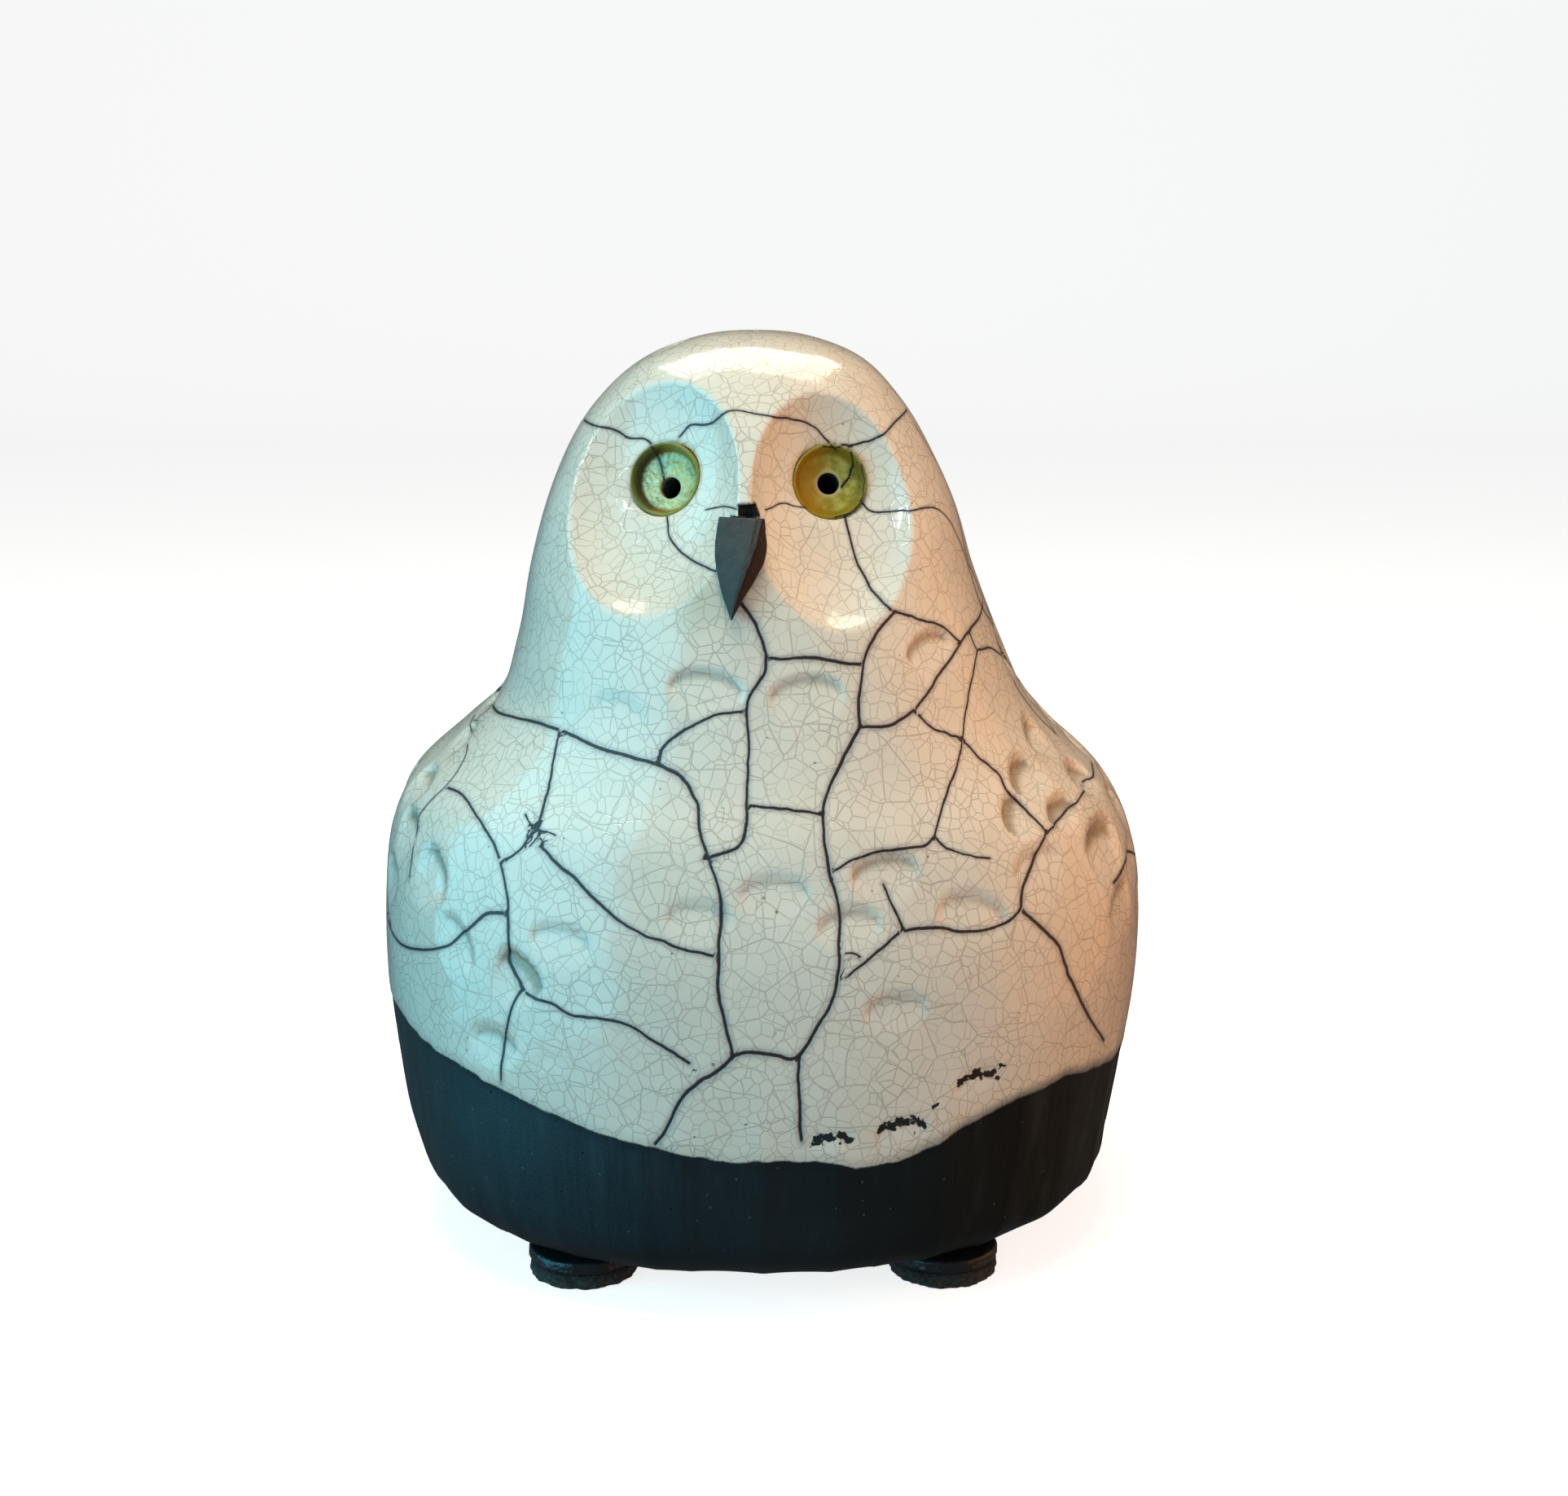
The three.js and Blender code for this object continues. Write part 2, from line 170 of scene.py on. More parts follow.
# The main cracks on the front: a width, then x and z along the crack.
FRONT_CRACKS = [
    # across the brow
    (1.0, [(-33, 148.5), (-26, 148), (-22.5, 146.5), (-19.7, 146.3), (-18.2, 144.6), (-17.4, 142.4),
           (-16.6, 139.6)]),
    (1.0, [(-14, 146.8), (-12, 149), (-8.5, 149.5), (-5.5, 151.5), (-1.5, 151.3), (5, 150.2), (8.5, 148.8),
           (11.2, 146.4), (12.6, 144.8)]),
    # over the owl's left eye, down past the pupil, and below its right eye
    (0.9, [(10.4, 145.6), (12.4, 145.2), (14.6, 145.4), (15.4, 143), (15.2, 140.8), (13.6, 138.6)]),
    (0.7, [(16.9, 142.4), (17.3, 139.6), (16.6, 136.6), (14.8, 134.8), (12.4, 133.9)]),
    (0.9, [(-16, 134), (-15.2, 131), (-13.4, 128.8), (-10.5, 127.4), (-7.6, 127)]),
    # round the owl's left eye and down its cheek
    (1.0, [(14.6, 145.4), (18, 146), (21.3, 147.6), (24.2, 149.6), (27.6, 150.6), (31, 150)]),
    (0.9, [(16.6, 136.6), (18.4, 135), (21.5, 134.7), (27, 135.3), (30, 134.6), (32.6, 131.8),
           (34.8, 127.5), (36.4, 123), (38.4, 117), (41, 112.5), (42.6, 108), (45, 104)]),
    (1.0, [(14, 134.4), (15, 130), (16.4, 126.2), (18.2, 122.8), (21.4, 120), (25.4, 118.4), (29.4, 116.6),
           (33.4, 113.2)]),
    (1.0, [(22, 119.6), (19.4, 117), (17.8, 114.6), (16.6, 111.6), (16.1, 107.6), (16, 102)]),
    # beside the beak's root
    (0.8, [(0.6, 136), (3.6, 136.3), (7.4, 135.6)]),
    (0.6, [(-9.4, 135.6), (-6.4, 136.6), (-3.8, 136.6)]),
    # down the breast
    (1.0, [(-3.4, 122), (-1.2, 119), (0, 116.4), (0.6, 113.6), (0.2, 111), (-1.8, 108), (-2.4, 105),
           (-2.2, 99), (-2.2, 94), (-2.4, 87), (-4, 84.2), (-9.4, 82.2)]),
    (1.0, [(0.6, 113.4), (8.6, 113.2), (16.4, 111.8)]),
    (1.1, [(-55, 94), (-50, 97.6), (-46, 98.4), (-40, 99.6), (-35, 99.6), (-28, 98), (-22, 97), (-17, 96.2),
           (-13, 94.2), (-10.4, 90.4), (-10, 87), (-8.4, 82), (-7, 77), (-6.8, 72.6), (-7, 66), (-7, 61),
           (-6, 55), (-4.8, 50)]),
    (1.0, [(-17, 96.2), (-15.6, 99.4), (-11.6, 102.4), (-6.6, 104.4), (-2.3, 105)]),
    (0.9, [(-2.2, 90.4), (3.6, 89.8), (10, 88.8)]),
    (1.1, [(16, 102), (14, 98.6), (12, 95), (10.2, 90.4), (9.8, 87.6), (10.2, 83.8), (11, 80), (12.2, 75),
           (12.6, 71), (12.3, 65), (11, 59), (8, 53), (6, 50)]),
    (1.1, [(-4.8, 50), (-2.4, 50.8), (1.4, 50.2), (4.6, 49.4), (6, 50)]),
    (1.2, [(-4.8, 50), (-7.6, 47.2), (-11.8, 44.2), (-14.4, 40), (-18, 33.6)]),
    (1.1, [(6, 49.8), (5.7, 44), (6.1, 38.6), (6.4, 34.6)]),
    # the owl's right wing
    (0.9, [(-34, 99.4), (-34.8, 95), (-35.6, 91), (-36.6, 87), (-38, 84), (-40.4, 81), (-43.4, 79)]),
    (1.0, [(-37.4, 83), (-31.4, 78.4), (-26, 74), (-19.4, 69.8), (-16, 69), (-11.4, 67.6), (-7, 66.6)]),
    (0.7, [(-50, 97.6), (-52.6, 94.4), (-51.8, 92), (-53, 89.4), (-55, 87), (-58, 84), (-60, 81),
           (-60.6, 77), (-61.4, 71)]),
    (0.9, [(-55, 87), (-51.4, 87), (-48.4, 85), (-45.4, 82.4), (-43.4, 78.6), (-42.4, 74.6), (-42, 70),
           (-42.2, 62.6)]),
    (1.0, [(-42.2, 71), (-46.4, 69.6), (-50.4, 66), (-52.4, 63.6), (-58, 60.4), (-64, 58.6), (-68.5, 60)]),
    (1.1, [(-42.2, 62.6), (-40.2, 59.4), (-39, 57.4), (-34.6, 56.8), (-31.6, 55.4), (-26.4, 55.2),
           (-22, 54.6), (-17.6, 52), (-12, 48.6)]),
    (0.9, [(-40, 58.4), (-42, 53.6), (-43.4, 47), (-44.2, 41)]),
    # the owl's left wing
    (0.9, [(39, 117), (38, 115.6), (35.4, 114.2), (33.2, 112.2), (29.6, 108.8), (28, 106.6), (25, 103.8),
           (21, 102), (16, 102)]),
    (0.8, [(35.4, 114.2), (37, 111), (40, 110), (44, 106)]),
    (0.8, [(37, 111), (36, 108), (34.4, 103), (33.4, 98), (32, 94), (30, 90), (28.2, 84.4)]),
    (0.9, [(25, 103.8), (28.8, 100.6), (33.4, 98), (37, 94.4), (40, 91.6), (41.2, 89), (44.8, 85.6),
           (48, 82)]),
    (1.0, [(61, 88), (60, 85.6), (56.4, 85.4), (53.4, 84.2), (48, 82), (46.2, 80), (45, 77.6), (43.4, 74.6),
           (43, 71)]),
    (0.9, [(28.2, 84.4), (26.8, 83.2), (23.6, 83), (19, 82.8), (15, 81.8), (11.2, 80)]),
    (0.8, [(28.2, 84.4), (30, 82.4), (33, 81), (37.6, 80)]),
    (1.0, [(43, 71), (39.6, 69), (33, 68.8), (28.4, 70), (23, 70), (19, 67.4), (16.6, 65.4), (13.6, 63)]),
    (0.6, [(12.6, 67), (15, 67), (16.8, 65.4)]),
    (0.8, [(23, 70), (21.6, 73.4), (19.6, 77.6)]),
    (1.2, [(43, 71), (47, 67), (50.4, 62.6), (52.4, 57), (56, 49), (60, 42)]),
]
# The cracks round the sides and the back: a width, then degrees round and z.
BACK_CRACKS = [
    (1.0, [(-73, 60), (-84, 66), (-96, 64), (-108, 70), (-121, 67), (-134, 74)]),
    (0.9, [(-96, 64), (-99, 55), (-97, 49), (-101, 42)]),
    (1.0, [(-76, 94), (-88, 99), (-98, 96), (-106, 88), (-109, 79), (-108, 70)]),
    (0.9, [(-98, 96), (-112, 103), (-125, 101), (-139, 107), (-152, 104)]),
    (1.1, [(-134, 74), (-131, 86), (-126, 93), (-125, 101)]),
    (1.0, [(-134, 74), (-147, 69), (-156, 73), (-168, 70), (-180, 75)]),
    (0.9, [(-147, 69), (-149, 58), (-145, 50), (-148, 39)]),
    (1.1, [(180, 75), (170, 83), (172, 94), (166, 104), (169, 115), (160, 124)]),
    (1.0, [(180, 75), (176, 63), (180, 52), (174, 41), (176, 34)]),
    (0.9, [(-152, 104), (-163, 110), (-172, 107), (-188, 113)]),
    (0.9, [(-152, 104), (-147, 117), (-151, 129), (-143, 139)]),
    (1.0, [(166, 104), (154, 100), (141, 104), (129, 99), (117, 102), (103, 97), (91, 100), (80, 92)]),
    (1.0, [(141, 104), (138, 92), (142, 82), (136, 72)]),
    (1.1, [(170, 83), (158, 77), (147, 79), (136, 72), (124, 75), (112, 70), (99, 73), (88, 68), (76, 72),
           (64, 70)]),
    (0.9, [(112, 70), (109, 59), (113, 50), (108, 40)]),
    (0.9, [(147, 79), (150, 66), (145, 56), (149, 45), (146, 34)]),
    (0.8, [(88, 68), (85, 57), (88, 48), (84, 38)]),
    (0.9, [(99, 73), (103, 84), (99, 91), (103, 97)]),
    (0.9, [(80, 92), (72, 104), (76, 114), (70, 126), (78, 137), (71, 148)]),
    (0.8, [(76, 114), (92, 119), (105, 114), (118, 120), (131, 116), (145, 121), (160, 124)]),
    (0.8, [(118, 120), (121, 131), (114, 141), (120, 150)]),
    (0.8, [(-82, 148), (-96, 141), (-108, 144), (-122, 138), (-143, 139)]),
    (0.8, [(-108, 144), (-104, 131), (-109, 121), (-103, 111), (-112, 103)]),
]
# A frizzy knot in the right wing's glaze.
CRACK_KNOT = (-37.5, 85)


# ---- Numbers: noise, smooth curves and blends ----
def soft_noise(points, size, seed):
    """Smooth noise from -1 to 1, on a lattice of cubes of that size: each corner's value is a hash."""
    shift = 31.7 * seed
    place = np.asarray(points, float) / size + shift
    cell = np.floor(place).astype(np.int64)
    part = place - cell
    part = part * part * (3 - 2 * part)
    total = np.zeros(len(place))
    for corner in product((0, 1), repeat=3):
        at = cell + corner
        mix = at[:, 0] * 374761393 + at[:, 1] * 668265263 + at[:, 2] * 1274126177 + seed * 144665
        mix = (mix ^ (mix >> 13)) * 1103515245
        mix = (mix ^ (mix >> 16)) & 0xFFFF
        weight = np.prod(np.where(corner, part, 1 - part), axis=1)
        total += weight * (mix / 0x7FFF - 1)
    return total


def smooth_step(low, high, value):
    """0 at low, 1 at high, smooth between. high may be the smaller."""
    t = np.clip((value - low) / (high - low), 0, 1)
    return t * t * (3 - 2 * t)


def smooth_least(a, b, width):
    """The smaller of a and b, blended where they come within that width."""
    h = np.clip(0.5 + 0.5 * (b - a) / width, 0, 1)
    return b + (a - b) * h - width * h * (1 - h)


def smooth_run(t, start, start_slope, end, end_slope):
    """The cubic from start to end as t goes from 0 to 1, with those slopes at its ends."""
    return (
        (1 + 2 * t) * (1 - t) ** 2 * start
        + t * (1 - t) ** 2 * start_slope
        + t * t * (3 - 2 * t) * end
        + t * t * (t - 1) * end_slope
    )


def level_distance(levels):
    """How far each level lies along the levels' outline."""
    steps = np.hypot(np.diff(levels[:, 0]), np.diff(levels[:, 1]))
    return np.concatenate([[0], np.cumsum(steps)])


def smooth_levels(levels, u):
    """The CAD model's smooth run through the levels, at distances u along it."""
    at = level_distance(levels)
    last = len(levels) - 1
    low = np.maximum(np.arange(last + 1) - 1, 0)
    high = np.minimum(np.arange(last + 1) + 1, last)
    slope = (levels[high] - levels[low]) / (at[high] - at[low])[:, None]
    slope[last, 0] = 0
    i = np.minimum(np.searchsorted(at, u, side="right") - 1, last - 1)
    h = (at[i + 1] - at[i])[:, None]
    t = (u - at[i])[:, None] / h
    return smooth_run(t, levels[i], h * slope[i], levels[i + 1], h * slope[i + 1])


def crowded(low, high, spacing, count):
    """That many positions from low to high, closer together where spacing(position) is small."""
    samples = np.linspace(low, high, 4000)
    density = 1 / spacing(samples)
    run = np.concatenate([[0], np.cumsum((density[1:] + density[:-1]) / 2)])
    return np.interp(np.linspace(0, run[-1], count), run, samples)


def round_angles(count):
    return np.arange(count) * 2 * math.pi / count


def plan_rings(rows, angles):
    """One ring of points for each row of levels: an array of rows by angles by xyz."""
    c, s = np.cos(angles), np.sin(angles)
    across = np.sign(c) * np.abs(c) ** (2 / PLAN_POWER)
    along = np.sign(s) * np.abs(s) ** (2 / PLAN_POWER)
    x = rows[:, 3:4] + rows[:, 1:2] * across
    y = rows[:, 4:5] + rows[:, 2:3] * along
    z = np.repeat(rows[:, 0:1], len(angles), axis=1)
    return np.stack([x, y, z], axis=-1)


def curve_through(points, step):
    """A smooth curve through the points, sampled about every step."""
    points = np.asarray(points, float)
    before = np.vstack([2 * points[0] - points[1], points[:-1]])
    after = np.vstack([points[1:], 2 * points[-1] - points[-2]])
    tangent = (after - before) / 2
    run = []
    for i in range(len(points) - 1):
        count = max(2, math.ceil(np.linalg.norm(points[i + 1] - points[i]) / step))
        t = (np.arange(count) / count)[:, None]
        run.append(smooth_run(t, points[i], tangent[i], points[i + 1], tangent[i + 1]))
    return np.vstack(run + [points[-1:]])


# ---- Meshes ----
def new_object(name, points, faces):
    """An object from points in millimetres."""
    mesh = bpy.data.meshes.new(name)
    mesh.from_pydata((np.asarray(points) * MM).tolist(), [], faces)
    mesh.update()
    thing = bpy.data.objects.new(name, mesh)
    bpy.context.collection.objects.link(thing)
    return thing


def new_piece(name, points, faces, material, slot, node):
    """A smooth-shaded piece that stands for a CAD node on the one body."""
    piece = new_object(name, points, faces)
    piece.data.materials.append(material)
    piece.data.shade_smooth()
    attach(piece, "root")
    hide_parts(node)
    return piece


def grid_faces(rows, columns):
    """Quads over rings of points, closed round each ring, facing out where the rings climb anticlockwise."""
    faces = []
    for i in range(rows - 1):
        for j in range(columns):
            a, b = i * columns + j, i * columns + (j + 1) % columns
            faces.append((a, b, b + columns, a + columns))
    return faces


def closed_grid(rings, start, end):
    """Points and faces of a closed skin: rings, with a fan to the point start before and end after them."""
    rows, columns = rings.shape[:2]
    points = np.vstack([rings.reshape(-1, 3), [start], [end]])
    faces = grid_faces(rows, columns)
    first, last = rows * columns, rows * columns + 1
    top = (rows - 1) * columns
    for j in range(columns):
        k = (j + 1) % columns
        faces.append((first, k, j))
        faces.append((last, top + j, top + k))
    return points, faces


def turned_rings(profile, columns, centre=(0, 0)):
    """A ring of points for each [radius, height] of the profile, about an upright axis at centre."""
    angles = round_angles(columns)
    x = centre[0] + profile[:, 0:1] * np.cos(angles)
    y = centre[1] + profile[:, 0:1] * np.sin(angles)
    z = np.repeat(profile[:, 1:2], columns, axis=1)
    return np.stack([x, y, z], axis=-1)


def hooped_grid(rings):
    """Points and faces of a solid with a hole through it, whose last ring is joined to its first."""
    rows, columns = rings.shape[:2]
    faces = [tuple(v % (rows * columns) for v in face[::-1]) for face in grid_faces(rows + 1, columns)]
    return rings.reshape(-1, 3), faces


def grid_normals(rings):
    """The outward normal at each point of the rings."""
    round_way = np.roll(rings, -1, axis=1) - np.roll(rings, 1, axis=1)
    up_way = np.gradient(rings, axis=0)
    normal = np.cross(round_way, up_way)
    return normal / np.maximum(np.linalg.norm(normal, axis=-1, keepdims=True), 1e-9)


def outward_frame(middle, side, splay, lift, roll=0):
    """A matrix whose +Z points out of the head, side * splay degrees round and lift degrees up."""
    turn = Matrix.Rotation(math.radians(side * splay), 4, "Z")
    lean = Matrix.Rotation(math.pi / 2 - math.radians(lift), 4, "X")
    return Matrix.Translation(Vector(middle)) @ turn @ lean @ Matrix.Rotation(math.radians(roll), 4, "Z")


def disc_frame(half):
    """The frame of a facial disc, with its origin in the middle of the disc's rim."""
    disc = half["disc"]
    return outward_frame(disc["middle"], half["side"], disc["splay"], disc["lift"], disc["roll"])


def eye_frame(half):
    """The frame of an eye, with its origin where the eye sits on the disc's bowl."""
    disc, eye = half["disc"], half["eye"]
    depth = disc["deep"] * (1 - (eye["inward"] / disc["across"]) ** 2 - (eye["above"] / disc["up"]) ** 2)
    seat = disc_frame(half) @ Vector((-half["side"] * eye["inward"], eye["above"], -depth))
    return outward_frame(seat, half["side"], eye["splay"], eye["lift"])


def in_frame(matrix, points):
    inverse = np.array(matrix.inverted())
    return points @ inverse[:3, :3].T + inverse[:3, 3]


def from_frame(matrix, points):
    m = np.array(matrix)
    return points @ m[:3, :3].T + m[:3, 3]


# ---- The body ----
class Clay:
    """The body's outer skin as a grid of rings, which each tool mark moves."""

    ROWS = 216
    COLUMNS = 420
    INSET = 0.15  # the skin starts this far inside the CAD model's, to leave room for its bumps

    def __init__(self):
        self.angles = crowded(-math.pi, math.pi, self.column_spacing, self.COLUMNS + 1)[:-1]
        short_of_crown = level_distance(BODY_LEVELS)[-1] - 0.5
        u = crowded(0, short_of_crown, self.row_spacing, self.ROWS)
        self.rings = plan_rings(smooth_levels(BODY_LEVELS, u), self.angles)
        self.crown = BODY_LEVELS[-1][[3, 4, 0]] - np.array([0, 0, self.INSET])
        self.push(np.full(self.rings.shape[:2], self.INSET))
        self.rings[..., 2] = np.maximum(self.rings[..., 2], FOOT_HEIGHT)
        self.gouge_shade_and_pool = np.zeros(self.rings.shape[:2])  # 1 under the steep edge of a tool mark: painted shade there, with pooled glaze

    @staticmethod
    def column_spacing(angle):
        """The columns crowd towards the face, which looks along -90 degrees."""
        off = (angle + math.pi / 2 + math.pi) % (2 * math.pi) - math.pi
        return 1 - 0.68 * np.exp(-((off / 1.1) ** 2))

    @staticmethod
    def row_spacing(u):
        """The rows crowd towards the face and thin out at the foot."""
        z = smooth_levels(BODY_LEVELS, u)[:, 0]
        foot = 0.8 * (1 - smooth_step(26, 38, z))
        face = 0.42 * smooth_step(104, 112, z) * (1 - smooth_step(158, 163, z))
        return 1 + foot - face

    def push(self, depth, normals=None):
        """Moves the skin inwards by that depth at each point."""
        normals = grid_normals(self.rings) if normals is None else normals
        self.rings = self.rings - normals * depth[..., None]

    def flat(self):
        """The skin's points as one list."""
        return self.rings.reshape(-1, 3)

    def roughen(self):
        """The slow unevenness of clay worked by hand."""
        points = self.flat()
        depth = 0.2 + 0.3 * soft_noise(points, 20, 1) + 0.1 * soft_noise(points, 8, 2)
        self.push(np.clip(depth, 0, None).reshape(self.rings.shape[:2]))

    def scrape(self):
        """Upright knife facets round the foot."""
        rng = np.random.default_rng(5)
        edges = np.cumsum(np.radians(rng.uniform(6, 13, 60))) - math.pi
        edges = edges[edges < math.pi - 0.05]
        points = self.flat()
        around = np.arctan2(points[:, 1], points[:, 0]) + 0.02 * soft_noise(points, 14, 3)
        which = np.searchsorted(edges, around)
        left = np.concatenate([[-math.pi], edges])[which]
        right = np.concatenate([edges, [math.pi]])[which]
        t = np.clip((around - left) / (right - left), 0, 1)
        foot_radius = 65
        sagitta = 0.9 * (right - left) ** 2 * foot_radius / 8
        tilt = rng.uniform(-0.16, 0.16, len(edges) + 1)[which]
        depth = sagitta * 4 * t * (1 - t) + np.abs(tilt) + tilt * (2 * t - 1)
        fade = 1 - smooth_step(30, 44, points[:, 2])
        self.push((depth * fade).reshape(self.rings.shape[:2]))

    def nearest(self, target, coordinates):
        """The grid index of the point whose coordinates come nearest to the target."""
        offset = coordinates - np.asarray(target, float)
        return np.unravel_index(np.argmin((offset**2).sum(-1)), self.rings.shape[:2])

    def front_index(self, x, z):
        hidden = np.where(self.rings[..., 1] > BODY_LEVELS[0, 4], 1e3, 0)
        return self.nearest((x, z), np.stack([self.rings[..., 0] + hidden, self.rings[..., 2]], -1))

    def round_index(self, degrees, z):
        off = np.degrees(np.arctan2(self.rings[..., 0], -self.rings[..., 1])) - degrees
        off = (off + 180) % 360 - 180
        return self.nearest((0, z), np.stack([off, self.rings[..., 2]], -1))

    def gouge(self, index, half_width, length, depth, lean, normals):
        """The depths of a thumb tool's bite: a steep arched edge above, running out downwards.

        The shade painted under the edge, with the glaze that pools there, is noted on the clay.
        """
        centre, normal = self.rings[index], normals[index]
        down = np.array([0, 0, -1.0]) - normal * -normal[2]
        down = down / np.linalg.norm(down)
        across = np.cross(normal, down)
        turn = math.radians(lean)
        down, across = (
            math.cos(turn) * down + math.sin(turn) * across,
            math.cos(turn) * across - math.sin(turn) * down,
        )
        offset = self.rings - centre
        a, b = offset @ down, offset @ across
        near = (np.abs(b) < half_width + 1) & (np.abs(a) < length + half_width)
        near &= np.abs(offset @ normal) < 12
        side = np.sqrt(np.clip(1 - (b / half_width) ** 2, 0, 1))
        below = a + 0.55 * half_width * side
        bite = smooth_step(-0.3, 0.9, below) * np.clip(1 - below / (length * side + 0.01), 0, 1) ** 1.1
        lip = -0.14 * np.exp(-(((below + 0.9) / 0.7) ** 2)) * side
        carved = np.where(near, depth * (bite * smooth_step(0, 0.35, side) + lip), 0)
        # a band of painted shade, with pooled glaze, just beyond the edge, wider for deeper bites
        shade, spread = 0.6 + 0.5 * depth, 0.8 + 0.55 * depth
        darker_glaze = np.exp(-(((below - shade) / spread) ** 2)) * smooth_step(0, 0.5, side) * min(depth / 1.7, 1)
        darker_glaze *= smooth_step(-0.2, 0.4, below)
        self.gouge_shade_and_pool = np.maximum(self.gouge_shade_and_pool, np.where(near, darker_glaze, 0))
        return carved

    def press_feathers(self):
        """The feathers of the front, one by one, and those of the back, scattered in rows."""
        normals = grid_normals(self.rings)
        total = np.zeros(self.rings.shape[:2])
        feathers = FRONT_FEATHERS + SHOULDER_FEATHERS + SOOTY_FEATHERS
        marks = [(self.front_index(x, z), *rest) for x, z, *rest in feathers]
        rng = np.random.default_rng(11)
        neck = 108
        for row, z in enumerate(np.arange(50, 150, 9.5)):
            spacing, start, skipped, deepest = (13, 76, 0.3, 1.5) if z < neck else (19, 92, 0.6, 0.9)
            for degrees in np.arange(start + (row % 2) * spacing / 2, 360 - start, spacing):
                place = self.round_index(degrees + rng.uniform(-5, 5), z + rng.uniform(-3.6, 3.6))
                size = (rng.uniform(3.8, 6.2), rng.uniform(7, 10.5), rng.uniform(0.5, deepest))
                lean = 14 * math.sin(math.radians(degrees)) + rng.uniform(-18, 18)
                if rng.random() > skipped:
                    marks.append((place, *size, lean))
        for place, half_width, length, depth, lean in marks:
            total = np.maximum(total, 0) + self.gouge(place, half_width, length, depth, lean, normals)
        self.push(np.clip(total, -0.2, 2.6), normals)

    def press_discs(self):
        """The two bowls of the face, steeper towards their softened rims than a paraboloid."""
        rim_blend = 0.45
        for half in FACE.values():
            disc, matrix = half["disc"], disc_frame(half)
            place = in_frame(matrix, self.flat())
            out = (place[:, 0] / disc["across"]) ** 2 + (place[:, 1] / disc["up"]) ** 2
            bowl = disc["deep"] * (out**1.4 - 1)
            place[:, 2] = smooth_least(place[:, 2], bowl, rim_blend)
            self.rings = from_frame(matrix, place).reshape(self.rings.shape)

    def roll_eye_edges(self):
        """The glaze rolls over into each eye's hole."""
        for half in FACE.values():
            matrix = eye_frame(half)
            place = in_frame(matrix, self.flat())
            out = np.hypot(place[:, 0], place[:, 1]) - EYE["radius"]
            near = (place[:, 2] > -6) & (place[:, 2] < 8)
            place[:, 2] -= np.where(near, 0.5 * (1 - smooth_step(-0.3, 1.0, out)), 0)
            self.rings = from_frame(matrix, place).reshape(self.rings.shape)

    def above_glaze_line(self, points):
        """How far each point stands above the glaze's lower edge."""
        line = np.array(GLAZE_LINE, float)
        line = np.vstack([line, line[:1] + [360, 0]])
        around = np.degrees(np.arctan2(points[:, 0], -points[:, 1]))
        height = np.interp(around, line[:, 0], line[:, 1])
        return points[:, 2] - height - 0.5 * soft_noise(points, 6, 7) - 0.25 * soft_noise(points, 2.2, 8)

    def thin_below_line(self):
        """The glaze stands a little proud of the bare clay below it."""
        above = self.above_glaze_line(self.flat())
        self.push((0.3 * (1 - smooth_step(-0.5, 0.5, above))).reshape(self.rings.shape[:2]))


def body_skin(clay):
    """The whole shell: down the inside, across the foot, and up the carved outside."""
    angles = clay.angles
    cavity = smooth_levels(CAVITY_LEVELS, np.linspace(level_distance(CAVITY_LEVELS)[-1] - 2, 0, 11))
    half_width, half_depth, top = FLOOR["half_width"] + GAP, FLOOR["half_depth"] + GAP, FLOOR["top"] + GAP
    bevel = 0.6
    mouth = np.array([
        [top, half_width, half_depth, 0, 0],
        [FOOT_HEIGHT + bevel, half_width, half_depth, 0, 0],
        [FOOT_HEIGHT, half_width + bevel, half_depth + bevel, 0, 0],
        [FOOT_HEIGHT, half_width + 2.4, half_depth + 2.8, 0, 0],
    ])
    inside = plan_rings(cavity, angles)
    inside[-1, :, 2] = top
    rings = np.concatenate([inside, plan_rings(mouth, angles), clay.rings])
    start = CAVITY_LEVELS[-1][[3, 4, 0]]
    return closed_grid(rings, start, clay.crown)


def disc_post(matrix, radius, low, high, columns=96):
    """A closed cylinder in that frame, as points and faces."""
    rings = turned_rings(np.array([[radius, low], [radius, high]], float), columns)
    points, faces = closed_grid(rings, (0, 0, low), (0, 0, high))
    return from_frame(matrix, points), faces


def cut(piece, tools):
    """Takes the tools, which are closed points and faces, out of the piece, one at a time."""
    for points, faces in tools:
        tool = new_object("cutter", points, faces)
        modifier = piece.modifiers.new("cut", "BOOLEAN")
        modifier.operation = "DIFFERENCE"
        modifier.solver = "MANIFOLD"
        modifier.object = tool
        depsgraph = bpy.context.evaluated_depsgraph_get()
        done = bpy.data.meshes.new_from_object(piece.evaluated_get(depsgraph))
        piece.modifiers.clear()
        old, piece.data = piece.data, done
        bpy.data.meshes.remove(old)
        bpy.data.objects.remove(tool)


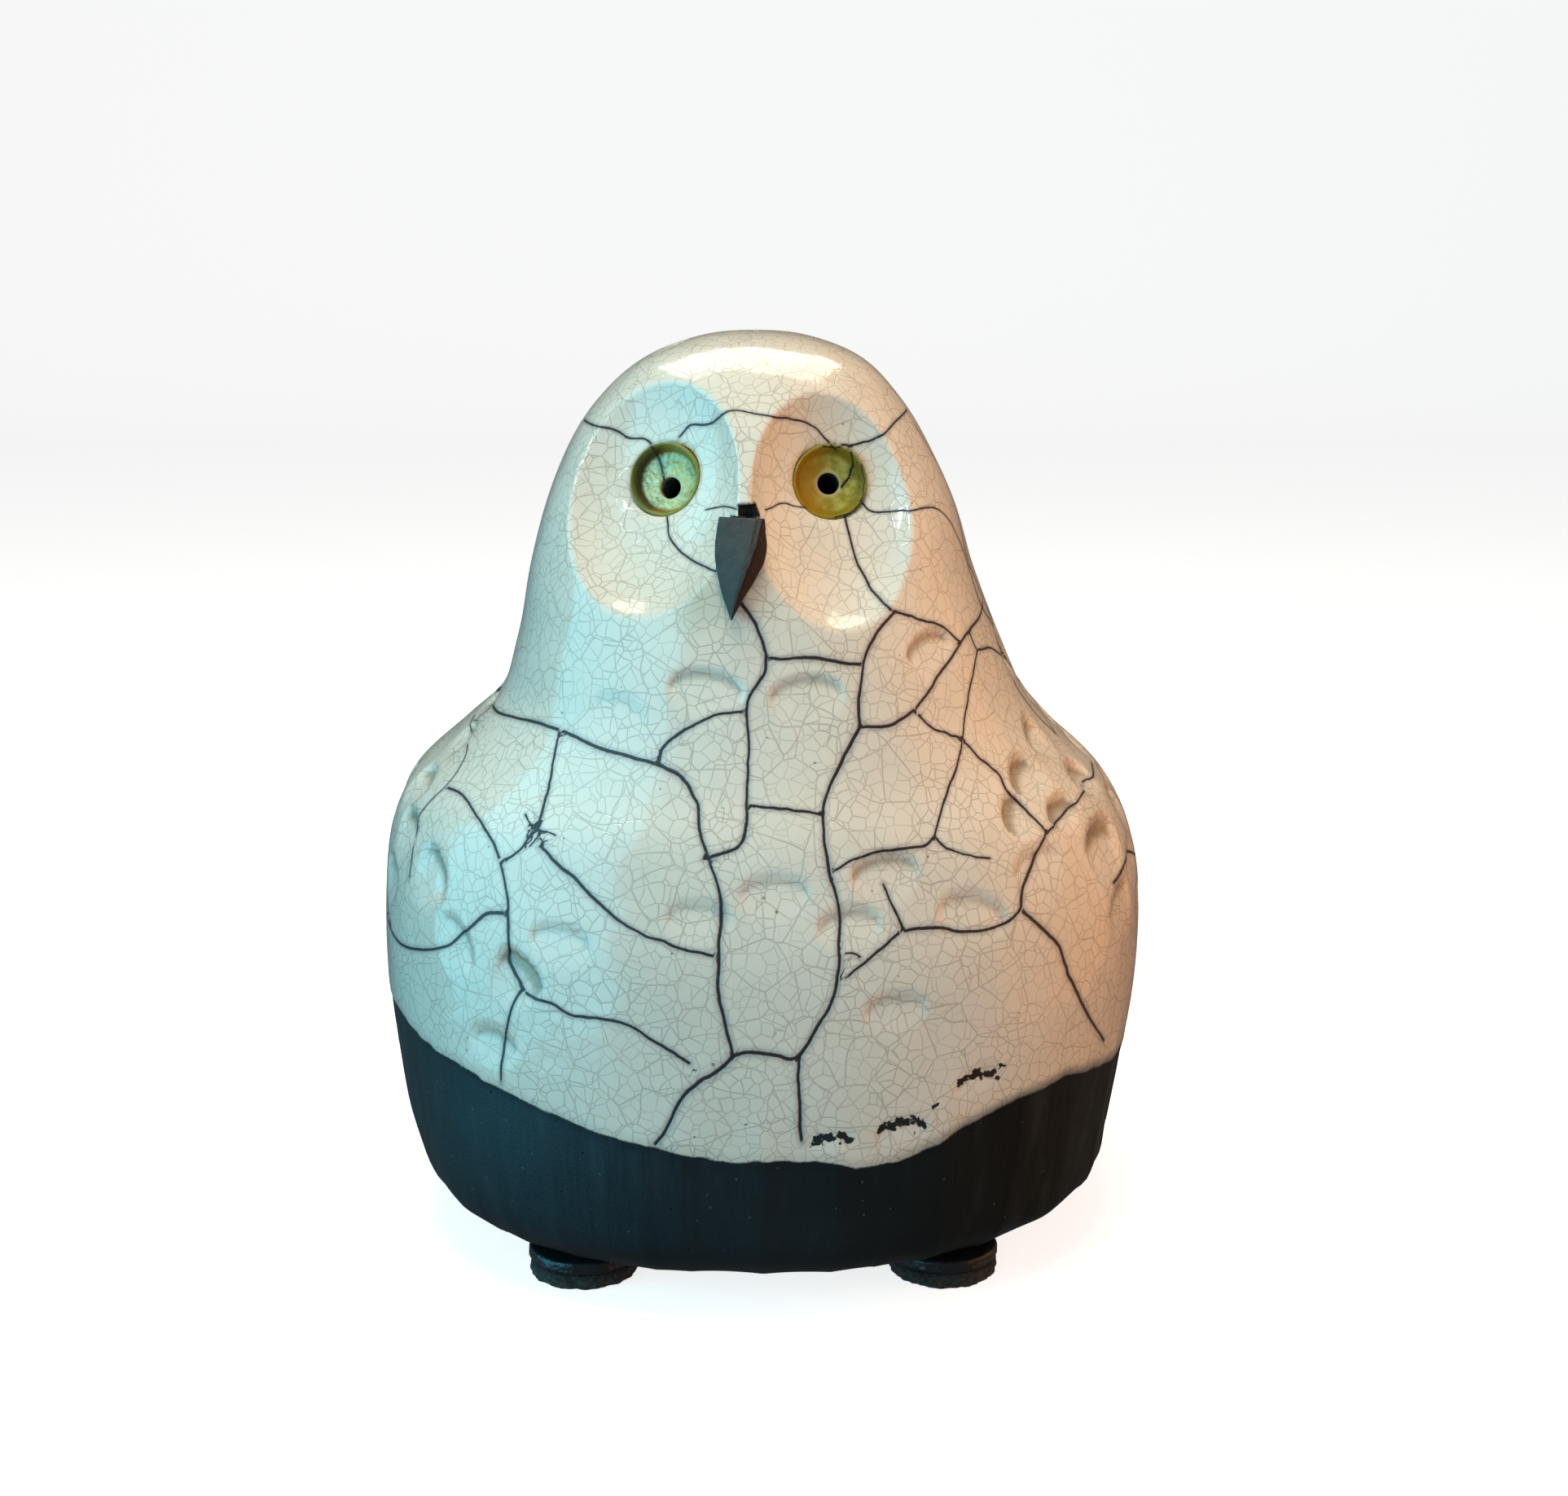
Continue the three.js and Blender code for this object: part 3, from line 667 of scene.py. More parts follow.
# ---- Cracks ----
class Cracks:
    """The network of main cracks laid over the glazed pieces, and each point's nearest place on it."""

    STEP = 0.4

    def __init__(self, glazed):
        points, faces = [], []
        for piece in glazed:
            start = len(points)
            points += points_of(piece).tolist()
            faces += [[start + v for v in face.vertices] for face in piece.data.polygons]
        self.skin = BVHTree.FromPolygons(points, faces)
        self.runs = []
        for width, points in FRONT_CRACKS:
            self.lay(width, points, self.from_front)
        for width, points in BACK_CRACKS:
            self.lay(width, points, self.from_round)
        self.lay_knot()
        self.index()

    def from_front(self, x, z):
        """The skin's point seen from straight ahead at that x and z."""
        return self.skin.ray_cast(Vector((x, -200, z)), Vector((0, 1, 0)))[0]

    def from_round(self, degrees, z):
        """The skin's point that many degrees round from straight ahead, at that height."""
        turn = math.radians(degrees)
        out = Vector((math.sin(turn), -math.cos(turn), 0))
        return self.skin.ray_cast(Vector((0, -3, z)) + 200 * out, -out)[0]

    def lay(self, width, points, project):
        """A curve through the points, with the wander of a real crack, dropped on the skin."""
        run = curve_through(points, self.STEP)
        place = np.column_stack([run, np.full(len(run), 3.0 * len(self.runs))])
        wander = np.column_stack([
            0.34 * soft_noise(place, 4.5, 21) + 0.14 * soft_noise(place, 1.3, 22),
            0.34 * soft_noise(place, 4.5, 23) + 0.14 * soft_noise(place, 1.3, 24),
        ])
        if project == self.from_front:  # where the skin turns away, a small wander would make a long kink
            half_width = np.interp(run[:, 1], BODY_LEVELS[:, 0], BODY_LEVELS[:, 1])
            wander *= 1 - 0.9 * smooth_step(0.7, 0.93, np.abs(run[:, :1]) / half_width[:, None])
        ends = np.minimum(np.arange(len(run)), np.arange(len(run))[::-1]) * self.STEP
        run = run + wander * smooth_step(0, 3, ends)[:, None]
        found = [project(*at) for at in run]
        found = np.array([tuple(at) for at in found if at is not None])
        if len(found) > 1:
            widths = width * (1 + 0.3 * soft_noise(place[: len(found)], 6, 25))
            widths *= 1 - 0.3 * smooth_step(118, 132, found[:, 2])  # they are finer on the head
            self.runs.append((found, widths))

    def lay_knot(self):
        """A burst of short cracks round one place."""
        rng = np.random.default_rng(3)
        x, z = CRACK_KNOT
        for _ in range(11):
            turn = rng.uniform(0, 2 * math.pi)
            reach = rng.uniform(1.2, 3.4)
            bend = turn + rng.uniform(-0.9, 0.9)
            middle = (x + 0.5 * reach * math.cos(turn), z + 0.5 * reach * math.sin(turn))
            end = (middle[0] + 0.6 * reach * math.cos(bend), middle[1] + 0.6 * reach * math.sin(bend))
            start = (x + rng.uniform(-0.6, 0.6), z + rng.uniform(-0.6, 0.6))
            self.lay(0.55, [start, middle, end], self.from_front)

    def index(self):
        """Every short stretch of the cracks, with a tree to find the nearest by."""
        self.start = np.vstack([run[:-1] for run, _ in self.runs])
        self.end = np.vstack([run[1:] for run, _ in self.runs])
        self.width = np.concatenate([widths[:-1] for _, widths in self.runs])
        middle = (self.start + self.end) / 2
        self.tree = KDTree(len(middle))
        for i, at in enumerate(middle):
            self.tree.insert(at, i)
        self.tree.balance()

    def nearest(self, points):
        """For each point: the nearest place on a crack and the crack's width there."""
        hits = np.array([self.tree.find(p)[1] for p in points])
        a, b = self.start[hits], self.end[hits]
        run = b - a
        t = np.clip(((points - a) * run).sum(1) / np.maximum((run**2).sum(1), 1e-9), 0, 1)
        return a + run * t[:, None], self.width[hits]

    def mark(self, piece):
        """Stores the nearest crack at each of the piece's points, for crack_lines()."""
        near, width = self.nearest(points_of(piece))
        set_attribute(piece, "crack_at", near)
        set_attribute(piece, "crack_width", width)


def set_attribute(piece, name, values):
    """A number or a vector for each vertex, which the materials read by name."""
    values = np.asarray(values, np.float32)
    kind, key = ("FLOAT_VECTOR", "vector") if values.ndim == 2 else ("FLOAT", "value")
    attribute = piece.data.attributes.new(name, kind, "POINT")
    attribute.data.foreach_set(key, values.reshape(-1))


def points_of(piece):
    """The piece's points, in millimetres."""
    flat = np.empty(len(piece.data.vertices) * 3)
    piece.data.vertices.foreach_get("co", flat)
    return flat.reshape(-1, 3) / MM


# ---- Materials ----
class Graph:
    """A material's nodes, built by nested calls. Positions in it are millimetres in the owl's frame."""

    def __init__(self, name):
        self.material = bpy.data.materials.new(name)
        self.material.use_nodes = True
        self.tree = self.material.node_tree
        self.tree.nodes.clear()
        self.shader = self.node("ShaderNodeBsdfPrincipled", {})
        output = self.node("ShaderNodeOutputMaterial", {})
        self.tree.links.new(self.shader.outputs[0], output.inputs[0])
        coordinates = self.node("ShaderNodeTexCoord", {})
        self.place = self.vector("SCALE", coordinates.outputs["Object"], scale=1 / MM)
        self.skin_normal = self.node("ShaderNodeNewGeometry", {}).outputs["Normal"]

    def node(self, kind, inputs, **settings):
        node = self.tree.nodes.new(kind)
        for key, value in settings.items():
            setattr(node, key, value)
        for key, value in inputs.items():
            self.put(node.inputs[key], value)
        return node

    def put(self, socket, value):
        """Links an output to the socket, or sets the socket to a plain value."""
        if isinstance(value, bpy.types.NodeSocket):
            self.tree.links.new(value, socket)
        elif socket.type == "RGBA" and len(value) == 3:
            socket.default_value = (*value, 1)
        else:
            socket.default_value = value

    def math(self, operation, a, b=0.0):
        return self.node("ShaderNodeMath", {0: a, 1: b}, operation=operation).outputs[0]

    def times(self, a, b):
        return self.math("MULTIPLY", a, b)

    def plus(self, a, b):
        return self.math("ADD", a, b)

    def minus(self, a, b):
        return self.math("SUBTRACT", a, b)

    def vector(self, operation, a, b=(0, 0, 0), scale=None):
        node = self.node("ShaderNodeVectorMath", {0: a, 1: b}, operation=operation)
        if scale is not None:
            node.inputs["Scale"].default_value = scale
        return node.outputs["Value" if operation in ("LENGTH", "DISTANCE", "DOT_PRODUCT") else "Vector"]

    def step(self, value, low, high):
        """0 at low, 1 at high, smooth between. high may be the smaller."""
        inputs = {"Value": value, "From Min": low, "From Max": high}
        return self.node("ShaderNodeMapRange", inputs, interpolation_type="SMOOTHSTEP").outputs[0]

    def mix(self, factor, a, b):
        """A colour from a to b."""
        node = self.node("ShaderNodeMix", {0: factor}, data_type="RGBA")
        self.put(node.inputs[6], a)
        self.put(node.inputs[7], b)
        return node.outputs[2]

    def stain(self, colour, mask, share, tone):
        """The colour with that share of the tone over it, where the mask is 1."""
        return self.mix(self.times(mask, share), colour, tone)

    def between(self, factor, a, b):
        """A number from a to b."""
        return self.node("ShaderNodeMix", {0: factor, 2: a, 3: b}, data_type="FLOAT").outputs[0]

    def noise(self, size, detail=2.0, place=None, roughness=0.5):
        inputs = {"Vector": place or self.place, "Scale": 1 / size, "Detail": detail, "Roughness": roughness}
        return self.node("ShaderNodeTexNoise", inputs).outputs[0]

    def wobble(self, size, reach):
        """The place, pushed about by noise of that size as far as reach."""
        inputs = {"Vector": self.place, "Scale": 1 / size, "Detail": 1.5}
        colour = self.node("ShaderNodeTexNoise", inputs).outputs["Color"]
        centred = self.vector("SUBTRACT", colour, (0.5, 0.5, 0.5))
        return self.vector("ADD", self.place, self.vector("SCALE", centred, scale=2 * reach))

    def stretched(self, x, y, z):
        """The place, with noise on it drawn out along an axis whose number is small."""
        return self.vector("MULTIPLY", self.place, (x, y, z))

    def cells(self, size, place, feature):
        inputs = {"Vector": place, "Scale": 1 / size}
        return self.node("ShaderNodeTexVoronoi", inputs, feature=feature)

    def attribute(self, name, output="Fac"):
        return self.node("ShaderNodeAttribute", {}, attribute_name=name).outputs[output]

    def finish(self, colour, roughness, height, **constants):
        """Colour, roughness and a height in millimetres go to the shader, and the rest are plain settings."""
        self.put(self.shader.inputs["Base Color"], colour)
        self.put(self.shader.inputs["Roughness"], roughness)
        bump = self.node("ShaderNodeBump", {"Height": height, "Distance": MM, "Strength": 1.0})
        self.put(self.shader.inputs["Normal"], bump.outputs[0])
        for key, value in constants.items():
            self.shader.inputs[key.replace("_", " ")].default_value = value
        return self.material


def craze(g, size, reach, line):
    """Fine crazing: thin lines between cells of that size, 1 on a line and 0 off it."""
    place = g.wobble(size * 2.2, reach)
    own = g.cells(size, place, "F1").outputs["Position"]
    next_one = g.cells(size, place, "F2").outputs["Position"]
    apart = g.vector("NORMALIZE", g.vector("SUBTRACT", next_one, own))
    middle = g.vector("SCALE", g.vector("ADD", next_one, own), scale=0.5)
    away = g.math("ABSOLUTE", g.vector("DOT_PRODUCT", g.vector("SUBTRACT", place, middle), apart))
    # a wall that meets the skin at a slant would draw a fat line, so the distance is taken along the skin
    slant = g.vector("LENGTH", g.vector("CROSS_PRODUCT", apart, g.skin_normal))
    away = g.math("DIVIDE", away, g.math("MAXIMUM", slant, 0.05))
    return g.step(away, 0.5 * line, 0.1 * line)


def specks(g, size, radius, share):
    """Scattered dots: that share of the cells of that size hold one, 1 on a dot and 0 off it."""
    cell = g.cells(size, g.wobble(1.2, 0.25), "F1")
    dot = g.step(cell.outputs["Distance"], radius / size, 0.5 * radius / size)
    draw = g.node("ShaderNodeSeparateColor", {0: cell.outputs["Color"]}).outputs[0]
    chosen = g.math("LESS_THAN", draw, share)
    return g.times(dot, chosen)


def crack_lines(g):
    """The main cracks' dark core and the smoke that spread from it, each from 0 to 1."""
    near = g.attribute("crack_at", "Vector")
    width = g.attribute("crack_width")
    away = g.vector("DISTANCE", g.place, near)
    away = g.plus(away, g.times(g.minus(g.noise(0.7), 0.5), 0.16))
    share = g.math("DIVIDE", away, width)
    core = g.step(share, 0.33, 0.14)
    smoke = g.step(share, 1.6, 0.1)
    return core, smoke


def bare_clay(g):
    """Clay smoked black, with painted window light and painted shade across it: its colour, roughness and
    height.
    """
    streak = g.noise(5.0, 3.0, g.stretched(1, 1, 0.16))
    cloud = g.noise(16.0, 4.0)
    # painted light: bluish and paler towards -X, where the cyan window falls, near black towards +X as
    # painted shade
    side = g.step(g.node("ShaderNodeSeparateXYZ", {0: g.place}).outputs[0], -15, 55)
    window_lit_clay = g.mix(cloud, (0.010, 0.016, 0.021), (0.027, 0.038, 0.046))
    shaded_clay = g.mix(cloud, (0.003, 0.005, 0.005), (0.009, 0.012, 0.012))
    colour = g.mix(side, window_lit_clay, shaded_clay)
    colour = g.stain(colour, g.step(streak, 0.5, 0.8), 0.6, (0.035, 0.046, 0.053))
    fleck = specks(g, 2.3, 0.28, 0.35)
    colour = g.stain(colour, fleck, 0.45, (0.16, 0.18, 0.18))
    pit = specks(g, 3.1, 0.3, 0.3)
    colour = g.mix(pit, colour, (0.006, 0.007, 0.008))
    roughness = g.between(g.noise(3.0, 3.0), 0.42, 0.66)
    grain = g.times(g.noise(0.45, 3.0), 0.05)
    drag = g.times(g.noise(1.2, 3.0, g.stretched(1, 1, 0.08)), 0.12)
    height = g.minus(g.plus(grain, drag), g.times(pit, 0.15))
    return colour, roughness, height


def glaze_material():
    """White crackle glaze that ends in a wavy line over smoke-black clay."""
    g = Graph("crackle_glaze")
    core, smoke = crack_lines(g)
    fine = craze(g, 2.4, 0.8, 0.32)
    long = craze(g, 6.4, 2.2, 0.34)
    patch = g.step(g.noise(9.0, 2.0), 0.3, 0.7)
    faint = g.times(fine, g.between(patch, 0.22, 0.5))
    lines = g.math("MAXIMUM", faint, g.times(long, g.between(g.noise(4.0), 0.25, 0.65)))
    gouge_shade_and_pool = g.attribute("gouge_shade_and_pool")

    colour = g.mix(g.noise(24.0, 3.0), (0.72, 0.65, 0.555), (0.82, 0.775, 0.70))
    # painted shade, with pooled glaze, in brown under the tool marks' steep edges
    colour = g.stain(colour, g.step(gouge_shade_and_pool, 0.15, 0.95), 0.8, (0.30, 0.235, 0.155))
    colour = g.stain(colour, g.step(g.noise(5.0, 4.0), 0.56, 0.8), 0.22, (0.60, 0.57, 0.50))
    # painted warm lamplight on the outer wall of the owl's right facial disc, which faces the amber lamp
    colour = g.stain(colour, g.attribute("tan"), g.step(g.noise(1.8, 4.0), 0.3, 0.7), (0.42, 0.31, 0.2))
    # darker olive-grey glaze beside the beak
    colour = g.mix(g.attribute("darker_glaze"), colour, (0.42, 0.42, 0.30))
    colour = g.mix(lines, colour, (0.24, 0.18, 0.13))
    dots = g.math("MAXIMUM", specks(g, 4.2, 0.28, 0.5), specks(g, 9.0, 0.42, 0.35))
    colour = g.stain(colour, dots, 0.75, (0.12, 0.11, 0.10))
    colour = g.stain(colour, g.math("POWER", smoke, 2.0), 0.5, (0.17, 0.17, 0.21))
    colour = g.mix(core, colour, (0.022, 0.016, 0.016))
    soot = g.step(g.plus(g.attribute("soot"), g.times(g.noise(1.3, 5.0), 2.2)), 1.72, 1.82)
    colour = g.mix(soot, colour, (0.012, 0.013, 0.013))

    above = g.attribute("above_line")
    edge = g.plus(above, g.times(g.minus(g.noise(0.9, 3.0), 0.5), 0.5))
    haze = g.times(g.step(edge, 2.6, -0.2), g.attribute("smoky"))
    colour = g.mix(haze, colour, (0.10, 0.105, 0.11))
    bare = g.math("MAXIMUM", g.step(edge, 0.25, -0.25), g.attribute("hidden"))
    clay_colour, clay_roughness, clay_height = bare_clay(g)
    colour = g.mix(bare, colour, clay_colour)

    roughness = g.between(g.noise(7.0, 2.0), 0.07, 0.14)
    roughness = g.between(core, roughness, 0.5)
    roughness = g.between(soot, roughness, 0.7)
    roughness = g.between(bare, roughness, clay_roughness)

    ripple = g.times(g.noise(6.0, 1.0), 0.16)
    ripple = g.plus(ripple, g.times(g.noise(1.6, 1.0), 0.03))
    dents = g.plus(g.times(lines, 0.022), g.times(core, 0.14))
    height = g.minus(ripple, dents)
    height = g.between(bare, height, clay_height)
    g.put(g.shader.inputs["Metallic"], g.times(bare, GRAPHITE_SHEEN))
    return g.finish(colour, roughness, height, IOR=GLASS_IOR)


def floor_material():
    """The same smoke-black clay as below the glaze."""
    g = Graph("smoked_clay")
    return g.finish(*bare_clay(g), Metallic=GRAPHITE_SHEEN)


def eye_material():
    """Olive-yellow glaze, pale on the flat ring, darker where it pools against the wall; painted window
    reflection and painted shade on one eye, painted amber lamplight on the other.
    """
    g = Graph("eye_glaze")
    out = g.attribute("from_axis")
    cloud = g.noise(1.8, 4.0)
    streaks = g.noise(1.0, 3.0, g.stretched(0.35, 0.35, 1.6))
    wall = g.mix(streaks, (0.13, 0.095, 0.004), (0.34, 0.26, 0.014))
    wall = g.mix(g.attribute("shaded"), wall, (0.035, 0.022, 0.001))
    ring = g.mix(g.step(cloud, 0.35, 0.65), (0.33, 0.28, 0.03), (0.60, 0.54, 0.13))
    # painted cyan-green reflection of the window on the owl's right eye's ring, strongest towards -X
    ring = g.stain(ring, g.attribute("window_reflection"), g.step(g.noise(0.7, 3.0), 0.4, 0.6), (0.66, 0.80, 0.52))
    colour = g.mix(g.step(out, 4.4, 5.3), ring, wall)
    # painted amber lamplight on the owl's left eye's inner wall, which faces the lamp
    colour = g.stain(colour, g.attribute("amber_lamp_light"), 0.85, (0.40, 0.20, 0.004))
    lip = g.times(g.step(out, 5.5, 6.0), 0.55)
    colour = g.mix(lip, colour, (0.27, 0.26, 0.04))
    near_pupil = g.attribute("from_pupil")
    colour = g.stain(colour, g.step(near_pupil, 2.7, 1.9), 0.6, (0.55, 0.52, 0.36))
    colour = g.stain(colour, specks(g, 1.1, 0.16, 0.5), 0.5, (0.05, 0.05, 0.01))
    core, smoke = crack_lines(g)
    colour = g.stain(colour, smoke, 0.4, (0.05, 0.05, 0.02))
    colour = g.mix(core, colour, (0.01, 0.01, 0.008))
    colour = g.mix(g.step(near_pupil, EYE["pupil"] + 0.02, EYE["pupil"] - 0.1), colour, (0.004, 0.004, 0.004))
    roughness = g.between(g.noise(0.6, 2.0), 0.05, 0.16)
    mottle = g.times(g.noise(0.5, 2.0), 0.09)
    height = g.minus(mottle, g.times(core, 0.08))
    return g.finish(colour, roughness, height, IOR=GLASS_IOR)


def beak_material():
    """Bare clay: grey with fine pale grit, and painted brown shade on the flank that faces +X, away from the
    window.
    """
    g = Graph("beak_clay")
    # painted shade, dark brown, on the flank turned away from the window
    shaded_flank = g.step(g.attribute("shaded_flank"), 0.2, 0.8)
    colour = g.mix(g.noise(1.6, 4.0), (0.034, 0.030, 0.028), (0.080, 0.071, 0.066))
    colour = g.mix(shaded_flank, colour, (0.018, 0.009, 0.005))
    colour = g.stain(colour, specks(g, 0.8, 0.16, 0.5), 0.5, (0.16, 0.15, 0.14))
    roughness = g.between(g.noise(0.8, 3.0), 0.55, 0.85)
    grit = g.times(g.noise(0.32, 4.0), 0.12)
    drag = g.times(g.noise(1.1, 2.0, g.stretched(1, 1, 0.2)), 0.14)
    return g.finish(colour, roughness, g.plus(grit, drag), Specular_IOR_Level=0.3)


def rubber_material():
    """Black rubber, dulled in patches."""
    g = Graph("pad_rubber")
    colour = g.mix(g.noise(3.0, 3.0), (0.004, 0.006, 0.008), (0.014, 0.017, 0.020))
    roughness = g.between(g.noise(1.4, 3.0), 0.16, 0.42)
    return g.finish(colour, roughness, g.times(g.noise(1.0, 3.0), 0.22))


def felt_material():
    """Matted black fibre."""
    g = Graph("pad_felt")
    fibre = g.noise(0.5, 5.0, g.wobble(1.1, 0.9), 0.7)
    colour = g.mix(g.step(fibre, 0.42, 0.7), (0.006, 0.006, 0.005), (0.052, 0.048, 0.042))
    colour = g.stain(colour, specks(g, 1.3, 0.14, 0.35), 0.6, (0.15, 0.14, 0.12))
    return g.finish(colour, 0.95, g.times(fibre, 0.5), Sheen_Weight=0.12, Sheen_Roughness=0.5)


# ---- The pieces ----
def make_body(material):
    """The carved and glazed shell, with holes for the eyes, their pupils and the beak."""
    clay = Clay()
    clay.roughen()
    clay.scrape()
    clay.press_feathers()
    clay.press_discs()
    clay.roll_eye_edges()
    clay.thin_below_line()
    points, faces = body_skin(clay)
    body = new_piece("owl_body", points, faces, material, "crackle_glaze", "body_shell")

    clear_of_disc, into_cavity = 12, -20
    tools = []
    for half in FACE.values():
        matrix = eye_frame(half)
        tools.append(disc_post(matrix, EYE["radius"] + SNUG, -EYE["below"] - GAP, clear_of_disc))
        bore = matrix @ Matrix.Translation((*half["eye"]["pupil"], 0))
        tools.append(disc_post(bore, EYE["pupil"], into_cavity, 0, 48))
    tools.append(beak_block(BEAK_ROOM, 40))
    tools.append(slot_block())
    cut(body, tools)
    body.data.shade_smooth()

    at = points_of(body)
    # the painted shade and pooled glaze under the tool marks' edges
    set_attribute(body, "gouge_shade_and_pool", gouge_shade_at(clay, at))
    set_attribute(body, "above_line", np.where(at[:, 2] > FOOT_HEIGHT + 0.2, clay.above_glaze_line(at), -9))
    set_attribute(body, "hidden", hidden_inside(at))
    set_attribute(body, "smoky", smooth_step(5, 45, at[:, 0]) * 0.75 + 0.12)
    set_attribute(body, "soot", soot_near(at))
    # painted warm lamplight where the owl's right disc's outer wall faces the lamp
    set_attribute(body, "tan", 0.55 * blob(at, (-25.5, -33, 142), (4.5, 9, 7)))
    # darker olive-grey glaze beside the beak's tip and root
    beside_tip = blob(at, (-9.5, -46, 122), (4.2, 9, 5))
    beside_root = blob(at, (-8.5, -44, 132.5), (1.6, 5, 3.5))
    set_attribute(body, "darker_glaze", 0.5 * beside_tip + 0.35 * beside_root)
    return body


def gouge_shade_at(clay, points):
    """The painted shade and pooled glaze under the tool marks' steep edges at each point, from the clay's
    nearest point.
    """
    tree = KDTree(clay.gouge_shade_and_pool.size)
    for i, at in enumerate(clay.flat()):
        tree.insert(at, i)
    tree.balance()
    gouge_shade_and_pool = clay.gouge_shade_and_pool.reshape(-1)
    return [gouge_shade_and_pool[i] if away < 1 else 0 for _, i, away in map(tree.find, points)]


def hidden_inside(points):
    """1 inside the shell, the eyes' holes and the beak's socket, where smoke blackened the clay."""
    margin, eye_margin, slot_margin = 2, 0.5, 0.2
    eye_reach = 15  # a pupil's hole has run into the cavity by then
    cavity = smooth_levels(CAVITY_LEVELS, np.linspace(0, level_distance(CAVITY_LEVELS)[-1], 200))
    width = np.interp(points[:, 2], cavity[:, 0], cavity[:, 1]) + margin
    depth = np.interp(points[:, 2], cavity[:, 0], cavity[:, 2]) + margin
    below_crown = points[:, 2] < cavity[-1, 0] + margin
    inside = (np.hypot(points[:, 0] / width, points[:, 1] / depth) < 1) & below_crown
    for half in FACE.values():
        place = in_frame(eye_frame(half), points)
        deep = (place[:, 2] < -EYE["below"] + eye_margin) & (place[:, 2] > -eye_reach)
        inside |= (np.hypot(place[:, 0], place[:, 1]) < EYE["radius"] + GAP) & deep
    low, high = np.array(KILN_GAP["low"]) - slot_margin, np.array(KILN_GAP["high"]) + slot_margin
    slot = ((points > low) & (points < high)).all(axis=1)
    return (inside | slot).astype(float)


def blob(points, centre, radii):
    """1 in the middle of a soft oval spot, fading to 0 at about twice its radii."""
    away = ((points - np.array(centre)) / np.array(radii)) ** 2
    return np.exp(-away.sum(1))


def soot_near(points):
    """How sooty each point is: most along the upper edges of the sooty feathers and in the spots."""
    soot = np.zeros(len(points))
    front = points[:, 1] < 0
    for x, z, half_width, *_ in SOOTY_FEATHERS:
        across = (points[:, 0] - x) / half_width
        arch = z + 0.5 * half_width * np.sqrt(np.clip(1 - across**2, 0, 1))
        band = np.exp(-(((points[:, 2] - arch + 0.6) / 1.5) ** 2)) * smooth_step(1.2, 0.6, np.abs(across))
        soot = np.maximum(soot, band)
    for x, z in SOOT_SPOTS:
        soot = np.maximum(soot, np.exp(-((points[:, 0] - x) ** 2 + (points[:, 2] - z) ** 2) / 0.7))
    return soot * front


def slot_block():
    """The dark slot left above the beak, as points and faces."""
    low, high = KILN_GAP["low"], KILN_GAP["high"]
    middle = [(a + b) / 2 for a, b in zip(low, high)]
    half = [(b - a) / 2 for a, b in zip(low, high)]
    columns = 40
    angles = round_angles(columns)
    c, s = np.cos(angles), np.sin(angles)
    x = middle[0] + half[0] * np.sign(c) * np.abs(c) ** 0.6  # powers below 1 square the oval up
    z = middle[2] + half[2] * np.sign(s) * np.abs(s) ** 0.7
    rings = np.stack([np.column_stack([x, np.full(columns, y), z]) for y in (high[1], low[1])])
    return closed_grid(rings, (middle[0], high[1], middle[2]), (middle[0], low[1], middle[2]))


def beak_block(grow, rows):
    """The beak between its rails, swollen by grow, from the tip up, as points and faces."""
    columns = 48
    t = np.linspace(1, 0, rows)
    corners = []
    for rail in BEAK_RAILS.values():
        rail = curve_through(rail, 0.25)
        run = np.concatenate([[0], np.cumsum(np.linalg.norm(np.diff(rail, axis=0), axis=1))])
        at = np.column_stack([np.interp(t * run[-1], run, rail[:, k]) for k in range(3)])
        corners.append(at)
    corners = np.stack(corners, axis=1)
    middle = corners.mean(axis=1, keepdims=True)
    s = np.linspace(0, 4, columns, endpoint=False)
    i = s.astype(int)
    f = (s - i)[None, :, None]
    rings = corners[:, i] * (1 - f) + corners[:, (i + 1) % 4] * f
    blunt = np.abs(2 * f - 1) ** 6 * 0.16  # each corner draws in a little
    rings = rings + (middle - rings) * blunt
    out = rings - middle
    out[..., 2] = 0
    length = np.maximum(np.linalg.norm(out, axis=-1, keepdims=True), 1e-6)
    rings = rings + out / length * grow
    start, end = rings[0].mean(axis=0), rings[-1].mean(axis=0)
    start[2] -= 0.15 + grow
    end[2] += grow
    rings[-1, :, 2] += grow
    return closed_grid(rings, start, end)


def make_beak(material):
    """The bare clay beak, with a gritty skin."""
    points, faces = beak_block(0, 90)
    grain = 0.09 * soft_noise(points, 1.7, 41) + 0.05 * soft_noise(points, 0.8, 42)
    middle = np.array([-3.4, -44, 0])
    out = points - middle
    out[:, 2] = 0
    out /= np.maximum(np.linalg.norm(out, axis=1, keepdims=True), 1e-6)
    points = points + out * np.minimum(grain, 0.08)[:, None]
    beak = new_piece("owl_beak", points, faces, material, "beak_clay", "beak")
    normal = np.array([tuple(v.normal) for v in beak.data.vertices])
    # painted shade on the flank that faces +X
    set_attribute(beak, "shaded_flank", smooth_step(-0.15, 0.35, normal[:, 0]))


